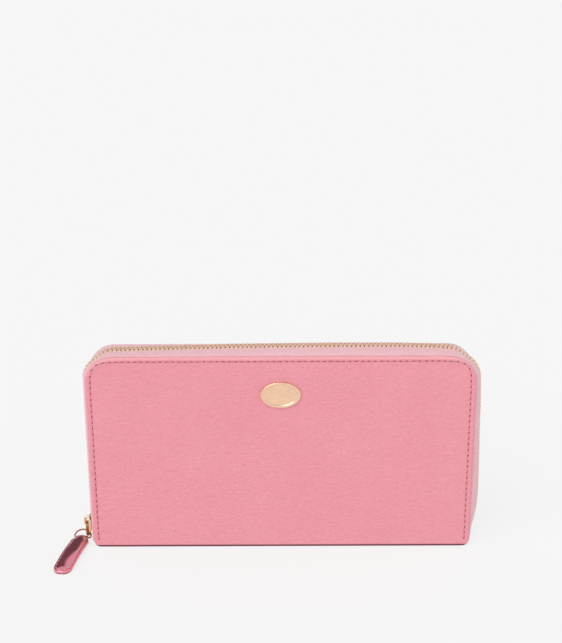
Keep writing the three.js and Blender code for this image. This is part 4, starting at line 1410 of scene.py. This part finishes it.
def build_stage():
    """A pale floor that glows a little, as on a light table, and a large window in front on the left."""
    reach = 60.0  # in metres
    floor_mesh = bpy.data.meshes.new("floor")
    floor_corners = [(u, v, 0) for u, v in rectangle(reach, reach)]
    floor_mesh.from_pydata(floor_corners, [], [(0, 1, 2, 3)])
    floor = bpy.data.objects.new("floor", floor_mesh)
    bpy.context.scene.collection.objects.link(floor)
    look = Look("floor paper", stored=False)
    look.set(colour=(*(FLOOR_ALBEDO,) * 3, 1), roughness=0.9, specular=0.0)
    look.shader.inputs["Emission Color"].default_value = (1, 1, 1, 1)
    look.shader.inputs["Emission Strength"].default_value = FLOOR_GLOW
    floor_mesh.materials.append(look.material)

    sun_data = bpy.data.lights.new("window", "SUN")
    sun_data.energy = 1.15
    sun_data.angle = math.radians(50)
    sun = bpy.data.objects.new("window", sun_data)
    sun.rotation_mode = "QUATERNION"
    sun.rotation_quaternion = Vector((0.6, 0.75, -1.0)).to_track_quat("-Z", "Y")
    bpy.context.scene.collection.objects.link(sun)
    build_room()


def build_room():
    """A bright room with two dark screens, which the polished parts and the glossy tab mirror."""
    world = bpy.data.worlds.new("studio")
    bpy.context.scene.world = world
    world.use_nodes = True
    tree = world.node_tree
    background = tree.nodes["Background"]
    background.inputs["Color"].default_value = (1, 1, 1, 1)
    direction = node(tree, "TexCoord").outputs["Generated"]
    height = node(tree, "SeparateXYZ", {0: direction}).outputs["Z"]
    level = ranged(tree, height, 0.05, 0.5, 0.93, 0.74)
    for azimuth, elevation, reach in SCREENS:
        turn, lift = math.radians(azimuth), math.radians(elevation)
        towards = (math.sin(turn) * math.cos(lift), math.cos(turn) * math.cos(lift), math.sin(lift))
        along = node(tree, "VectorMath", {0: direction, 1: towards}, operation="DOT_PRODUCT")
        edges = [math.cos(math.radians(reach + soft)) for soft in (1.5, -1.5)]
        shade = ranged(tree, along.outputs["Value"], *edges, 1.0, SCREEN_SHADE)
        level = node(tree, "Math", {0: level, 1: shade}, operation="MULTIPLY").outputs[0]
    tree.links.new(level, background.inputs["Strength"])


def build_camera():
    """The camera stands in front of the wallet, a little above it, and looks down on it."""
    data = bpy.data.cameras.new("camera")
    data.lens = LENS
    data.sensor_width = 36
    camera = bpy.data.objects.new("camera", data)
    bpy.context.scene.collection.objects.link(camera)
    pitch, yaw, roll = (math.radians(angle) for angle in CAMERA_ANGLES)
    level = math.cos(pitch)
    forward = Vector((-math.sin(yaw) * level, math.cos(yaw) * level, -math.sin(pitch)))
    right = Vector((math.cos(yaw), math.sin(yaw), 0))
    up = right.cross(forward)
    across = math.cos(roll) * right + math.sin(roll) * up
    over = math.cos(roll) * up - math.sin(roll) * right
    turned = Matrix((across, over, -forward)).transposed()
    camera.matrix_world = Matrix.Translation(CAMERA_PLACE) @ turned.to_4x4()
    bpy.context.scene.camera = camera
    bpy.context.scene.view_settings.view_transform = "Standard"


build_covers()
for build_part in (build_seam, zip_tape, zip_teeth):
    for half, side, body in HALVES:
        build_part(half, side, body)
for half, _, body in HALVES:
    for end in ("left", "right"):
        zip_stop(half, end, body)
build_slider()
build_link()
build_ring()
build_tab()
build_emblem()
for half, side, body in HALVES:
    lining_panel(half, side, body)
    card_strips(half, side, body)
    for end in ("left", "right"):
        gusset(half, end, side)
coin_pocket()
build_coin_slider()
build_coin_puller()
paint_hidden_parts()
build_stage()
build_camera()
